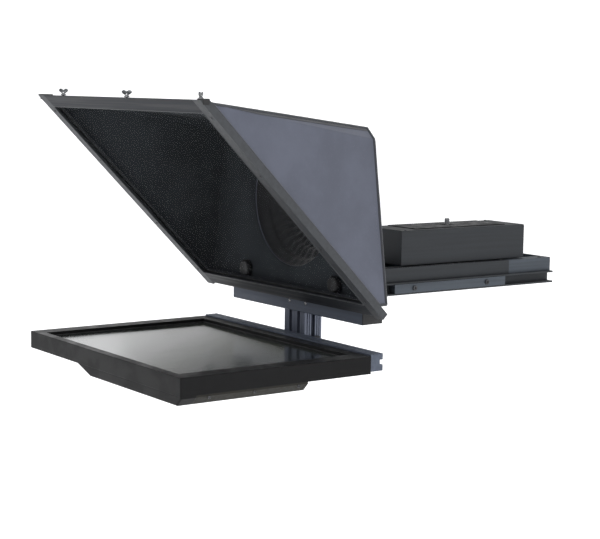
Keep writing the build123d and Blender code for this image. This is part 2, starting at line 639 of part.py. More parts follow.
def camera_pad():
    """Rubber pad that the camera stands on."""
    body = block((-40, 40), (RISER_Y[0] + 40, RISER_Y[1] - 40), (RISER_TOP, PAD_TOP))
    return body - rod("z", (0, CAMERA_SCREW_Y, RISER_TOP - 1), 8, 5)


def camera_screw():
    """Camera screw standing up through the riser, with its head under the top wall."""
    low = RISER_TOP - RISER_WALL - 10
    head = grip("z", (0, CAMERA_SCREW_Y, low), 14, 9.7, 10)
    neck = rod("z", (0, CAMERA_SCREW_Y, low + 5), CAMERA_SCREW_NECK, PAD_TOP - low - 5)
    thread = rod("z", (0, CAMERA_SCREW_Y, PAD_TOP), CAMERA_SCREW_RADIUS, CAMERA_SCREW_TIP - PAD_TOP)
    return head + neck + chamfer(thread.edges().group_by(Axis.Z)[-1], 0.8)


def slide_lever():
    """Lever on the far side that locks the slide plate."""
    face = -PLATFORM_OUTER
    hub = rod("x", (face - 10, LEVER_Y, LEVER_Z), 6, 9.7)
    shank = rod("x", (face - 1, LEVER_Y, LEVER_Z), LEVER_SHANK, PLATFORM_OUTER - CHANNEL_HALF - 0.5)
    arm = block((face - 9, face - 3), (LEVER_Y, LEVER_Y + LEVER_LENGTH), (LEVER_Z - 3.5, LEVER_Z + 3.5))
    arm = fillet(arm.edges().filter_by(Axis.X).group_by(Axis.Y)[-1], 3)
    return hub + shank + arm


# ---------------------------------------------------------------- assembly
def make_base():
    """Everything that stays with the tripod."""
    keep("rail_left", rail(-1))
    keep("rail_right", rail(1))
    keep("side_plate_left", side_plate(-1))
    keep("side_plate_right", side_plate(1))
    keep("side_plate_bolts", side_plate_bolts())
    keep("tripod_plate", tripod_plate())
    keep("tripod_bush", tripod_bush())
    keep("rear_cross_bar", rear_cross_bar())
    front = channel((PLATFORM_FRONT, PLATFORM_JOIN))
    lever_bore = rod("x", (-PLATFORM_OUTER - 1, LEVER_Y, LEVER_Z), LEVER_SHANK + RUNNING, 20)
    keep("platform_front", front - lever_bore)
    stop_y = (RAIL_REAR - STOP_THICK, RAIL_REAR)
    stop = block((-PLATFORM_OUTER, PLATFORM_OUTER), stop_y, (RAIL_TOP, PLATFORM_TOP))
    keep("platform_rear", channel((PLATFORM_JOIN, RAIL_REAR)) + stop)
    keep("platform_screws", platform_screws())
    keep("front_beam", beam())
    keep("beam_bolts", beam_bolts())
    keep("post", post())
    keep("hinge_yokes", hinge_yokes())
    keep("hinge_pins", hinge_pins())
    keep("tilt_knob", tilt_knob())


def make_glass_frame():
    """The leaning frame with its glass and the hood."""
    keep("bottom_bar", bottom_bar())
    keep("top_bar", top_bar())
    keep("side_bar_left", side_bar(-1))
    keep("side_bar_right", side_bar(1))
    keep("beam_splitter_glass", glass())
    keep("glass_gasket", gasket())
    keep("corner_plates", corner_plates())
    for name, panel in zip(("hood_top", "hood_side_left", "hood_side_right", "hood_rear"), hood_panels()):
        keep(name, panel)
    keep("shroud_hoop", shroud_hoop())
    keep("lens_shroud", lens_shroud())
    keep("hood_clamp_plates", hood_clamp_plates())
    keep("hood_knob_left", hood_knob(-1))
    keep("hood_knob_right", hood_knob(1))
    for name, x, turn in zip(("left", "middle", "right"), THUMB_X, THUMB_TURN):
        keep("thumb_screw_" + name, thumb_screw(x, turn))


def make_monitor():
    """The monitor, its boards and buttons, and the carriage behind it."""
    keep("bezel", bezel())
    keep("back_cover", back_cover())
    keep("display_panel", monitor_layer(8, DISPLAY_LOW, MONITOR_TOP - BEZEL_DEPTH))
    keep("backlight", monitor_layer(10, BACKLIGHT_LOW, DISPLAY_LOW))
    keep("electronics_housing", electronics_housing())
    keep("control_bar", control_bar())
    driver_chips = ((20, -420, 12, 2), (70, -380, 9, 3), (90, -440, 6, 4))
    keep("driver_board", board((-20, 120), driver_chips))
    keep("power_board", board((130, 225), ((160, -430, 14, 6), (195, -360, 12, 5))))
    keep("dc_socket", dc_socket())
    keep("bnc_socket", bnc_socket())
    keep("rear_rail", rear_rail())
    keep("carriage", carriage())
    keep("carriage_bolts", carriage_bolts())
    keep("carriage_knob", carriage_knob())
    for name, x in zip(("menu", "down", "up"), BUTTON_X):
        keep(name + "_button", button(x))
    keep("power_button", button(POWER_X))


def make_camera_support():
    """The sliding support for the camera."""
    keep("slide_plate", slide_plate())
    keep("riser", riser())
    keep("camera_pad", camera_pad())
    keep("camera_screw", camera_screw())
    keep("slide_lever", slide_lever())


make_base()
make_glass_frame()
make_monitor()
make_camera_support()
os.makedirs("parts", exist_ok=True)
for node, shape in PARTS.items():
    export_step(shape, f"parts/{node}.step")
print(len(PARTS), "nodes")
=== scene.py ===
"""Looks of a teleprompter round its fixed frame: hood cloth, finishes, trim, studio light and camera.

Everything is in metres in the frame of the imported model: +Z is up, -Y points to the presenter, and the
origin is the mouth of the tripod socket. A class per sub-assembly builds its pieces from numpy surfaces and
dresses the frame's own parts with procedural finishes.
"""

import json
import logging
import math
from dataclasses import dataclass, field
from enum import Enum
from typing import Callable, Iterable, Sequence

import bpy
import numpy as np
from mathutils import Matrix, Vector
from numpy.typing import NDArray

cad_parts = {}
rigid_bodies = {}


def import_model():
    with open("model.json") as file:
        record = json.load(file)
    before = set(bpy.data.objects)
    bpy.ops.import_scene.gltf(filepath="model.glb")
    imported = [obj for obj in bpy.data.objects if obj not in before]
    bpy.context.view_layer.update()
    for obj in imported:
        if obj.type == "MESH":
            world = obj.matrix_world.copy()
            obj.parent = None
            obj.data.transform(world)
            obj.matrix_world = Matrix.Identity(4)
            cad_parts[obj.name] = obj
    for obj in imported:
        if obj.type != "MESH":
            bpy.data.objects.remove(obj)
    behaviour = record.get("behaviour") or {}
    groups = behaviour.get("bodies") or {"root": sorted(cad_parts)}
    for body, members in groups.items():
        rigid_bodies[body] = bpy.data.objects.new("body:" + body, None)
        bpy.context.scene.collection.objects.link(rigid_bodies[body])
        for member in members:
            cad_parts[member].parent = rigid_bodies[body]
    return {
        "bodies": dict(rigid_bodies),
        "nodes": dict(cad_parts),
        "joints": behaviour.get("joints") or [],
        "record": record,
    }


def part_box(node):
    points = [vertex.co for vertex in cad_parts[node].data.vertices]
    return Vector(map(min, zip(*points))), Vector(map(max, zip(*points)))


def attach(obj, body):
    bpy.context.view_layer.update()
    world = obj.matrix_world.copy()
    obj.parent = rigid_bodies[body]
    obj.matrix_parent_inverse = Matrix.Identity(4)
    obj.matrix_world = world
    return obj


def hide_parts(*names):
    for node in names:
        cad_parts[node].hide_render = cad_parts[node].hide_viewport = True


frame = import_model()

LOG = logging.getLogger("teleprompter")
MM = 0.001
DIAGONAL = math.sqrt(0.5)

Array = NDArray[np.float64]
Color = tuple[float, float, float]
Point = tuple[float, float, float]


# ---------------------------------------------------------------- meshes
class Axis(Enum):
    """Direction that a turned or drawn piece runs along."""

    X = ((0.0, 1.0, 0.0), (0.0, 0.0, 1.0), (1.0, 0.0, 0.0))
    Y = ((0.0, 0.0, 1.0), (1.0, 0.0, 0.0), (0.0, 1.0, 0.0))
    Z = ((1.0, 0.0, 0.0), (0.0, 1.0, 0.0), (0.0, 0.0, 1.0))
    FACE = ((1.0, 0.0, 0.0), (0.0, -DIAGONAL, DIAGONAL), (0.0, -DIAGONAL, -DIAGONAL))

    def place(self, origin: Point, local: Array) -> Array:
        """Turn local (side, side, along) coordinates into space.

        Args:
            origin: The point that the local zero goes to.
            local: Array of shape (..., 3).

        Returns:
            The points in space, in the same shape.
        """
        return local @ np.array(self.value) + np.array(origin)


@dataclass
class Shell:
    """Vertices and faces of one closed or open surface, kept as arrays until it becomes a mesh."""

    points: Array
    quads: NDArray[np.int64]
    uv: Array
    caps: list[list[int]] = field(default_factory=list)
    slots: NDArray[np.int64] | None = None

    def shifted(self, offset: int) -> "Shell":
        """The same surface with its vertex numbers raised by an offset."""
        caps = [[i + offset for i in cap] for cap in self.caps]
        return Shell(self.points, self.quads + offset, self.uv, caps, self.slots)


def grid_quads(rows: int, columns: int, wrap_rows: bool = False,
               wrap_columns: bool = False) -> NDArray[np.int64]:
    """Faces of a grid of points numbered row by row.

    Args:
        rows: Number of rows of points.
        columns: Number of points in a row.
        wrap_rows: Join the last row to the first.
        wrap_columns: Join the last column to the first.

    Returns:
        Array of shape (faces, 4).
    """
    i = np.arange(rows if wrap_rows else rows - 1)[:, None]
    j = np.arange(columns if wrap_columns else columns - 1)[None, :]
    below, beside = (i + 1) % rows, (j + 1) % columns
    corners = (i * columns + j, below * columns + j, below * columns + beside, i * columns + beside)
    return np.stack([np.broadcast_to(c, (i.size, j.size)) for c in corners], axis=-1).reshape(-1, 4)


def volume_sign(shell: Shell) -> float:
    """Sign of the enclosed volume: the sum over faces of the triple product of their corners."""
    a, b, c, d = (shell.points[shell.quads[:, k]] for k in range(4))
    centre = shell.points.mean(axis=0)
    a, b, c, d = a - centre, b - centre, c - centre, d - centre
    total = np.einsum("ij,ij->", a, np.cross(b, c)) + np.einsum("ij,ij->", a, np.cross(c, d))
    return 1.0 if total >= 0 else -1.0


def outward(shell: Shell) -> Shell:
    """The same closed surface with its faces turned outwards."""
    if volume_sign(shell) < 0:
        shell.quads = shell.quads[:, ::-1]
        shell.caps = [cap[::-1] for cap in shell.caps]
    return shell


def joined(shells: Sequence[Shell]) -> Shell:
    """Several surfaces as one, each keeping its own faces."""
    points, quads, uv, caps, slots = [], [], [], [], []
    offset = 0
    for shell in shells:
        moved = shell.shifted(offset)
        points.append(moved.points)
        quads.append(moved.quads)
        uv.append(moved.uv)
        caps += moved.caps
        own = moved.slots if moved.slots is not None else np.zeros(len(moved.quads), dtype=np.int64)
        slots.append(own)
        offset += len(moved.points)
    whole = (np.concatenate(parts) for parts in (points, quads, uv))
    return Shell(*whole, caps, np.concatenate(slots))


def sheet_shell(outer: Array, inner: Array, uv: Array, closed: bool = False) -> Shell:
    """A wall between two grids of the same shape: outer face, inner face and the rims between them.

    Args:
        outer: Points of the outer face, shape (rows, columns, 3).
        inner: Points of the inner face, in the same order.
        uv: Flat cloth coordinates in metres, shape (rows, columns, 2).
        closed: The columns go all the way round.

    Returns:
        A closed surface whose inner faces have material slot 1.
    """
    rows, columns = outer.shape[:2]
    count = rows * columns
    face = grid_quads(rows, columns, wrap_columns=closed)
    index = np.arange(count).reshape(rows, columns)
    if closed:
        loops = [np.append(index[0], index[0, 0]), np.append(index[-1], index[-1, 0])[::-1]]
    else:
        loops = [np.concatenate([index[0], index[1:, -1], index[-1, -2::-1], index[-2::-1, 0]])]
    rims = [np.stack([loop[:-1], loop[1:], loop[1:] + count, loop[:-1] + count], axis=1) for loop in loops]
    quads = np.concatenate([face, face[:, ::-1] + count] + rims)
    slots = np.zeros(len(quads), dtype=np.int64)
    slots[len(face):2 * len(face)] = 1
    points = np.concatenate([outer.reshape(-1, 3), inner.reshape(-1, 3)])
    flat = np.concatenate([uv.reshape(-1, 2)] * 2)
    return outward(Shell(points, quads, flat, [], slots))


def turned_shell(profile: Array, axis: Axis, origin: Point, sides: int = 48,
                 rim: Callable[[Array, Array], Array] | None = None) -> Shell:
    """A closed turned piece: radius and height of a profile carried round an axis.

    A point at angle t and profile place (r, h) is (r cos t, r sin t, h), where r is first scaled by the rim
    function, which cuts lobes or knurls. The two ends are closed by flat caps.

    Args:
        profile: Radius and height pairs in metres, shape (n, 2), all radii above zero.
        axis: Direction of the axis.
        origin: Where the axis starts.
        sides: Number of steps round the axis.
        rim: Gives the scale of the radius from the angle and the share along the profile.

    Returns:
        The closed surface.
    """
    angle = np.linspace(0, 2 * math.pi, sides, endpoint=False)[None, :]
    radius, height = profile[:, 0][:, None], profile[:, 1][:, None]
    share = np.linspace(0, 1, len(profile))[:, None]
    scale = rim(angle, share) if rim else np.ones((len(profile), sides))
    spread = radius * scale
    local = np.stack(np.broadcast_arrays(spread * np.cos(angle), spread * np.sin(angle), height), axis=-1)
    points = axis.place(origin, local).reshape(-1, 3)
    quads = grid_quads(len(profile), sides, wrap_columns=True)
    last = (len(profile) - 1) * sides
    caps = [list(range(sides)), list(range(last, last + sides))[::-1]]
    turn = np.broadcast_to(angle / (2 * math.pi), spread.shape)
    uv = np.stack([turn, np.broadcast_to(share, spread.shape)], axis=-1).reshape(-1, 2)
    shell = Shell(points, quads, uv, caps)
    flip = volume_sign(shell) < 0
    shell.quads = quads[:, ::-1] if flip else quads
    inside = points.mean(axis=0)
    shell.caps = [facing(points, cap, points[cap].mean(axis=0) - inside) for cap in caps]
    return shell


def facing(points: Array, cap: list[int], away: Array) -> list[int]:
    """A flat cap's corners in the order that makes it face a direction."""
    ring = points[cap]
    normal = np.cross(ring, np.roll(ring, -1, axis=0)).sum(axis=0)
    return cap if float(normal @ away) >= 0 else cap[::-1]


def tube_shell(path: Array, radius: float | Array, sides: int = 12, closed: bool = False,
               flatten: float = 1.0) -> Shell:
    """A round or flattened tube along a path.

    At each path point the section is a circle in the plane across the local direction; its two axes come from
    crossing that direction with one fixed reference, so the tube doesn't twist on a gently turning path.

    Args:
        path: Points of the centre line, shape (n, 3).
        radius: Radius in metres, one value or one for each point.
        sides: Number of steps round the section.
        closed: The path is a loop.
        flatten: Thickness along the second axis as a share of the first.

    Returns:
        The closed surface.
    """
    ahead = np.roll(path, -1, axis=0) - np.roll(path, 1, axis=0)
    if not closed:
        ahead[0], ahead[-1] = path[1] - path[0], path[-1] - path[-2]
    ahead /= np.linalg.norm(ahead, axis=1, keepdims=True)
    spread = np.abs(ahead).max(axis=0)
    reference = np.eye(3)[int(np.argmin(spread))]
    side = np.cross(ahead, reference)
    side /= np.linalg.norm(side, axis=1, keepdims=True)
    up = np.cross(side, ahead)
    angle = np.linspace(0, 2 * math.pi, sides, endpoint=False)
    ring = np.cos(angle)[None, :, None] * side[:, None] + flatten * np.sin(angle)[None, :, None] * up[:, None]
    points = path[:, None] + ring * np.broadcast_to(radius, len(path))[:, None, None]
    length = np.concatenate([[0.0], np.cumsum(np.linalg.norm(np.diff(path, axis=0), axis=1))])
    turn = angle[None, :] / (2 * math.pi)
    uv = np.stack(np.broadcast_arrays(turn, length[:, None]), axis=-1).reshape(-1, 2)
    flat = points.reshape(-1, 3)
    quads = grid_quads(len(path), sides, wrap_rows=closed, wrap_columns=True)
    shell = outward(Shell(flat, quads, uv))
    if not closed:
        last = (len(path) - 1) * sides
        ends = (list(range(sides)), list(range(last, last + sides)))
        shell.caps = [facing(flat, ends[0], -ahead[0]), facing(flat, ends[1], ahead[-1])]
    return shell


def block_shell(low: Sequence[float], high: Sequence[float], edge: float, axis: Axis = Axis.Z,
                origin: Point = (0.0, 0.0, 0.0), steps: int = 3) -> Shell:
    """A box with rounded edges: a rounded rectangle carried along an axis, drawn in at both ends.

    The section is four quarter circles joined by straight sides. Along the axis the section shrinks by
    edge (1 - sin a) while it moves by edge (1 - cos a), so the ends are rounded by the same amount.

    Args:
        low: Lowest local corner.
        high: Highest local corner.
        edge: Radius of every edge.
        axis: Local frame of the box.
        origin: Where the local zero goes.
        steps: Faces in each rounded edge.

    Returns:
        The closed surface.
    """
    low_a, high_a = np.array(low), np.array(high)
    bend = np.linspace(0, math.pi / 2, steps + 1)
    draw_in = np.concatenate([edge * (1 - np.sin(bend)), edge * (1 - np.sin(bend[::-1]))])
    rise = np.concatenate([low_a[2] + edge * (1 - np.cos(bend)), high_a[2] - edge * (1 - np.cos(bend[::-1]))])
    turn = np.concatenate([bend + k * math.pi / 2 for k in range(4)])
    corner_x = np.repeat([high_a[0] - edge, low_a[0] + edge, low_a[0] + edge, high_a[0] - edge], steps + 1)
    corner_y = np.repeat([high_a[1] - edge, high_a[1] - edge, low_a[1] + edge, low_a[1] + edge], steps + 1)
    reach = edge - draw_in[:, None]
    x = corner_x[None, :] + reach * np.cos(turn)[None, :]
    y = corner_y[None, :] + reach * np.sin(turn)[None, :]
    z = np.broadcast_to(rise[:, None], x.shape)
    points = axis.place(origin, np.stack([x, y, z], axis=-1)).reshape(-1, 3)
    rows, columns = x.shape
    uv = np.stack([x, y + z], axis=-1).reshape(-1, 2)
    shell = outward(Shell(points, grid_quads(rows, columns, wrap_columns=True), uv))
    ends = (list(range(columns)), list(range((rows - 1) * columns, rows * columns)))
    along = np.array(axis.value[2])
    shell.caps = [facing(points, ends[0], -along), facing(points, ends[1], along)]
    return shell


def round_profile(radius: float, height: float, edge: float, start: float = 0.0, steps: int = 5) -> Array:
    """Radius and height of a disc whose two rims are rounded by quarter circles.

    Args:
        radius: Outer radius.
        height: Length along the axis.
        edge: Radius of the rims.
        start: Height where the disc begins.
        steps: Faces in each rim.

    Returns:
        Array of shape (n, 2).
    """
    bend = np.linspace(0, math.pi / 2, steps + 1)
    low = np.stack([radius - edge + edge * np.sin(bend), start + edge * (1 - np.cos(bend))], axis=1)
    high = np.stack([radius - edge + edge * np.cos(bend), start + height - edge * (1 - np.sin(bend))], axis=1)
    return np.concatenate([low, high])


def piece(name: str, shell: Shell, body: str, materials: Sequence[bpy.types.Material],
          replaces: Sequence[str] = (), smooth: float = 40.0) -> bpy.types.Object:
    """Make a surface into an object that rides on a body.

    Args:
        name: The piece's name.
        shell: Its surface.
        body: The body that it moves with.
        materials: Its materials, in the order of the surface's slots.
        replaces: Nodes of the frame that it stands for.
        smooth: Edges flatter than this angle in degrees are shaded smooth.

    Returns:
        The new object.
    """
    mesh = bpy.data.meshes.new(name)
    mesh.from_pydata(shell.points.tolist(), [], shell.quads.tolist() + shell.caps)
    if shell.slots is not None and len(materials) > 1:
        index = np.concatenate([shell.slots, np.zeros(len(shell.caps), dtype=np.int64)])
        mesh.polygons.foreach_set("material_index", index.astype(np.int32))
    layer = mesh.uv_layers.new(name="Flat")
    corner = np.empty(len(mesh.loops), dtype=np.int32)
    mesh.loops.foreach_get("vertex_index", corner)
    layer.data.foreach_set("uv", shell.uv[corner].astype(np.float32).ravel())
    mesh.polygons.foreach_set("use_smooth", np.ones(len(mesh.polygons), dtype=bool))
    mesh.set_sharp_from_angle(angle=math.radians(smooth))
    mesh.update()
    made = bpy.data.objects.new(name, mesh)
    bpy.context.scene.collection.objects.link(made)
    for material in materials:
        mesh.materials.append(material)
    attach(made, body)
    if replaces:
        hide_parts(*replaces)
    LOG.info("%s: %d faces on %s", name, len(mesh.polygons), body)
    return made


# ---------------------------------------------------------------- shader node groups
@dataclass
class Wires:
    """Short ways to add and join nodes in one node tree."""

    tree: bpy.types.NodeTree

    def add(self, kind: str, **settings: object) -> bpy.types.Node:
        """Add a node of a kind and set its properties."""
        node = self.tree.nodes.new(kind)
        for name, value in settings.items():
            setattr(node, name, value)
        return node

    def join(self, source: bpy.types.NodeSocket, target: bpy.types.NodeSocket) -> None:
        """Join an output to an input."""
        self.tree.links.new(source, target)

    def put(self, target: bpy.types.NodeSocket, value: object) -> None:
        """Join a socket to an input, or set a plain value on it."""
        if isinstance(value, bpy.types.NodeSocket):
            self.join(value, target)
        else:
            target.default_value = value

    def math(self, operation: str, a: object, b: object = 0.0, clamp: bool = False) -> bpy.types.NodeSocket:
        """One step of arithmetic.

        Args:
            operation: Name of the Math node's operation.
            a: First socket or number.
            b: Second socket or number.
            clamp: Keep the result from 0 to 1.

        Returns:
            The result's socket.
        """
        node = self.add("ShaderNodeMath", operation=operation, use_clamp=clamp)
        self.put(node.inputs[0], a)
        self.put(node.inputs[1], b)
        return node.outputs[0]

    def spread(self, value: object, low: float, high: float, to_low: float = 0.0,
               to_high: float = 1.0) -> bpy.types.NodeSocket:
        """Carry a value from one range to another, smoothly and without overshoot."""
        node = self.add("ShaderNodeMapRange", interpolation_type="SMOOTHSTEP")
        for index, item in enumerate((value, low, high, to_low, to_high)):
            self.put(node.inputs[index], item)
        return node.outputs[0]

    def noise(self, vector: bpy.types.NodeSocket, scale: float, detail: float = 3.0,
              rough: float = 0.55) -> bpy.types.NodeSocket:
        """Value of a noise pattern on a vector."""
        node = self.add("ShaderNodeTexNoise")
        self.join(vector, node.inputs["Vector"])
        node.inputs["Scale"].default_value = scale
        node.inputs["Detail"].default_value = detail
        node.inputs["Roughness"].default_value = rough
        return node.outputs[0]

    def stretch(self, vector: bpy.types.NodeSocket, scale: Point) -> bpy.types.NodeSocket:
        """A vector scaled along each direction."""
        node = self.add("ShaderNodeMapping")
        self.join(vector, node.inputs["Vector"])
        node.inputs["Scale"].default_value = scale
        return node.outputs[0]

    def blend(self, share: object, a: object, b: object) -> bpy.types.NodeSocket:
        """A colour between two, by a share."""
        node = self.add("ShaderNodeMix", data_type="RGBA")
        self.put(node.inputs[0], share)
        self.put(node.inputs[6], a)
        self.put(node.inputs[7], b)
        return node.outputs[2]

    def group(self, tree: bpy.types.NodeTree, **values: object) -> bpy.types.Node:
        """Place a node group and give its inputs."""
        node = self.add("ShaderNodeGroup", node_tree=tree)
        for name, value in values.items():
            self.put(node.inputs[name.replace("_", " ")], value)
        return node


class Effects:
    """The shared surface effects, each a node group built once."""

    def __init__(self) -> None:
        """Build every group."""
        self.weave = self.make_weave()
        self.felt = self.make_felt()
        self.grain = self.make_grain()
        self.brushed = self.make_brushed()
        self.dust = self.make_dust()
        self.wear = self.make_edge_wear_and_sheen()

    @staticmethod
    def start(name: str, inputs: Iterable[tuple[str, str, object]],
              outputs: Iterable[tuple[str, str]]) -> tuple[Wires, bpy.types.Node, bpy.types.Node]:
        """An empty group with its sockets.

        Args:
            name: The group's name.
            inputs: Name, socket type and default value of each input.
            outputs: Name and socket type of each output.

        Returns:
            The group's wires, its input node and its output node.
        """
        tree = bpy.data.node_groups.new(name, "ShaderNodeTree")
        for label, kind, value in inputs:
            made = tree.interface.new_socket(label, in_out="INPUT", socket_type=kind)
            if value is not None:
                made.default_value = value
        for label, kind in outputs:
            tree.interface.new_socket(label, in_out="OUTPUT", socket_type=kind)
        wires = Wires(tree)
        return wires, wires.add("NodeGroupInput"), wires.add("NodeGroupOutput")

    def make_weave(self) -> bpy.types.NodeTree:
        """Plain weave: two sets of rounded threads that pass over and under each other in turn."""
        wires, given, out = self.start(
            "PlainWeave",
            [("Vector", "NodeSocketVector", None), ("Pitch", "NodeSocketFloat", 0.0012)],
            [("Height", "NodeSocketFloat"), ("Shade", "NodeSocketFloat")],
        )
        parts = wires.add("ShaderNodeSeparateXYZ")
        wires.join(given.outputs["Vector"], parts.inputs[0])
        turns = wires.math("DIVIDE", math.pi, given.outputs["Pitch"])
        warp = wires.math("MULTIPLY", parts.outputs[0], turns)
        weft = wires.math("MULTIPLY", parts.outputs[1], turns)
        across = wires.math("ABSOLUTE", wires.math("SINE", warp))
        along = wires.math("ABSOLUTE", wires.math("SINE", weft))
        over = wires.math("MULTIPLY", wires.math("SINE", warp), wires.math("SINE", weft))
        turn = wires.spread(over, -0.25, 0.25)
        thread = wires.add("ShaderNodeMix", data_type="FLOAT")
        wires.join(turn, thread.inputs[0])
        wires.join(across, thread.inputs[2])
        wires.join(along, thread.inputs[3])
        wires.join(thread.outputs[0], out.inputs["Height"])
        fuzz = wires.noise(given.outputs["Vector"], 900.0, 2.0)
        shade = wires.math("MULTIPLY_ADD", fuzz, 0.35)
        shade.node.inputs[2].default_value = 0.8
        wires.join(shade, out.inputs["Shade"])
        return wires.tree

    def make_felt(self) -> bpy.types.NodeTree:
        """Felted cloth: fine tangled fibres, with wide soft blotches where the nap lies another way."""
        wires, given, out = self.start(
            "FeltedNap",
            [("Vector", "NodeSocketVector", None), ("Blotch", "NodeSocketFloat", 14.0)],
            [("Height", "NodeSocketFloat"), ("Nap", "NodeSocketFloat"), ("Fleck", "NodeSocketFloat")],
        )
        vector = given.outputs["Vector"]
        fibres = wires.noise(wires.stretch(vector, (1.0, 1.0, 0.35)), 1500.0, 3.0, 0.7)
        tufts = wires.noise(vector, 800.0, 2.0)
        height = wires.math("ADD", wires.math("MULTIPLY", fibres, 0.6), wires.math("MULTIPLY", tufts, 0.5))
        wires.join(height, out.inputs["Height"])
        wide = wires.add("ShaderNodeTexNoise", noise_dimensions="3D")
        wires.join(vector, wide.inputs["Vector"])
        wires.join(given.outputs["Blotch"], wide.inputs["Scale"])
        wide.inputs["Detail"].default_value = 5.0
        wide.inputs["Roughness"].default_value = 0.62
        wires.join(wires.spread(wide.outputs[0], 0.36, 0.66), out.inputs["Nap"])
        fleck = wires.noise(vector, 260.0, 4.0, 0.75)
        wires.join(wires.spread(fleck, 0.56, 0.72), out.inputs["Fleck"])
        return wires.tree

    def make_grain(self) -> bpy.types.NodeTree:
        """Moulded or painted grain: small cells with a softer mottle under them."""
        wires, given, out = self.start(
            "MouldedGrain",
            [("Vector", "NodeSocketVector", None), ("Scale", "NodeSocketFloat", 900.0)],
            [("Height", "NodeSocketFloat"), ("Mottle", "NodeSocketFloat")],
        )
        cells = wires.add("ShaderNodeTexVoronoi", feature="F1")
        wires.join(given.outputs["Vector"], cells.inputs["Vector"])
        wires.join(given.outputs["Scale"], cells.inputs["Scale"])
        fine = wires.noise(given.outputs["Vector"], 1400.0, 2.0)
        height = wires.math("ADD", cells.outputs[0], wires.math("MULTIPLY", fine, 0.4))
        wires.join(height, out.inputs["Height"])
        mottle = wires.noise(given.outputs["Vector"], 22.0, 5.0)
        wires.join(wires.spread(mottle, 0.35, 0.65), out.inputs["Mottle"])
        return wires.tree

    def make_brushed(self) -> bpy.types.NodeTree:
        """Brushed or drawn metal: streaks along one direction, with broad die lines."""
        wires, given, out = self.start(
            "DrawnStreaks",
            [("Vector", "NodeSocketVector", None)],
            [("Height", "NodeSocketFloat"), ("Streak", "NodeSocketFloat")],
        )
        fine = wires.noise(given.outputs["Vector"], 1100.0, 3.0)
        broad = wires.noise(given.outputs["Vector"], 160.0, 2.0)
        wires.join(wires.math("ADD", fine, wires.math("MULTIPLY", broad, 0.5)), out.inputs["Height"])
        wires.join(wires.spread(broad, 0.38, 0.62), out.inputs["Streak"])
        return wires.tree

    def make_dust(self) -> bpy.types.NodeTree:
        """Dust: a patchy mask on the faces that look up."""
        wires, given, out = self.start(
            "SettledDust",
            [("Vector", "NodeSocketVector", None), ("Normal", "NodeSocketVector", None),
             ("Amount", "NodeSocketFloat", 0.3)],
            [("Mask", "NodeSocketFloat")],
        )
        parts = wires.add("ShaderNodeSeparateXYZ")
        wires.join(given.outputs["Normal"], parts.inputs[0])
        up = wires.spread(parts.outputs[2], 0.35, 0.95)
        patch = wires.spread(wires.noise(given.outputs["Vector"], 60.0, 6.0, 0.65), 0.38, 0.75)
        both = wires.math("MULTIPLY", wires.math("MULTIPLY", up, patch), given.outputs["Amount"])
        wires.join(both, out.inputs["Mask"])
        return wires.tree

    def make_edge_wear_and_sheen(self) -> bpy.types.NodeTree:
        """Edge mask where the rounded normal leaves the face's own, broken up by noise: rubbed edges on metal,
        and on moulded plastic also a painted edge sheen.
        """
        wires, given, out = self.start(
            "EdgeWear",
            [("Vector", "NodeSocketVector", None), ("Radius", "NodeSocketFloat", 0.0012)],
            [("Mask", "NodeSocketFloat")],
        )
        rounded = wires.add("ShaderNodeBevel", samples=4)
        wires.join(given.outputs["Radius"], rounded.inputs["Radius"])
        flat = wires.add("ShaderNodeNewGeometry")
        turn = wires.add("ShaderNodeVectorMath", operation="DOT_PRODUCT")
        wires.join(rounded.outputs[0], turn.inputs[0])
        wires.join(flat.outputs["Normal"], turn.inputs[1])
        edge = wires.spread(turn.outputs["Value"], 0.985, 0.80)
        broken = wires.spread(wires.noise(given.outputs["Vector"], 190.0, 4.0, 0.7), 0.42, 0.62)
        wires.join(wires.math("MULTIPLY", edge, broken), out.inputs["Mask"])
        return wires.tree


# ---------------------------------------------------------------- finishes
class Lay(Enum):
    """Direction that drawn or brushed lines run in."""

    ALONG_X = (0.02, 1.0, 1.0)
    ALONG_Y = (1.0, 0.02, 1.0)
    ALONG_Z = (1.0, 1.0, 0.02)
    EVEN = (1.0, 1.0, 1.0)


@dataclass(frozen=True)
class Finish:
    """What every finish shares: a name, a colour and a roughness."""

    name: str
    color: Color
    rough: float = 0.5

    def start(self) -> tuple[bpy.types.Material, Wires, bpy.types.Node, bpy.types.NodeSocket,
                             bpy.types.NodeSocket]:
        """A new material with its shader.

        Returns:
            The material, its wires, the shader node, the Object coordinates and the object's normal.
        """
        material = bpy.data.materials.new(self.name)
        material.use_nodes = True
        wires = Wires(material.node_tree)
        shader = next(n for n in material.node_tree.nodes if n.type == "BSDF_PRINCIPLED")
        shader.inputs["Roughness"].default_value = self.rough
        place = wires.add("ShaderNodeTexCoord")
        return material, wires, shader, place.outputs["Object"], place.outputs["Normal"]

    def rgba(self, gain: float = 1.0) -> tuple[float, float, float, float]:
        """The colour with alpha, made lighter or darker by a gain."""
        red, green, blue = (min(1.0, c * gain) for c in self.color)
        return (red, green, blue, 1.0)

    @staticmethod
    def relief(wires: Wires, shader: bpy.types.Node, height: bpy.types.NodeSocket, depth: float,
               strength: float = 0.5, soften: float = 0.0) -> None:
        """Join a height to the shader through a Bump node, over edges softened by a radius."""
        bump = wires.add("ShaderNodeBump")
        bump.inputs["Strength"].default_value = strength
        bump.inputs["Distance"].default_value = depth
        wires.join(height, bump.inputs["Height"])
        if soften:
            rounded = wires.add("ShaderNodeBevel", samples=4)
            rounded.inputs["Radius"].default_value = soften
            wires.join(rounded.outputs[0], bump.inputs["Normal"])
        wires.join(bump.outputs[0], shader.inputs["Normal"])


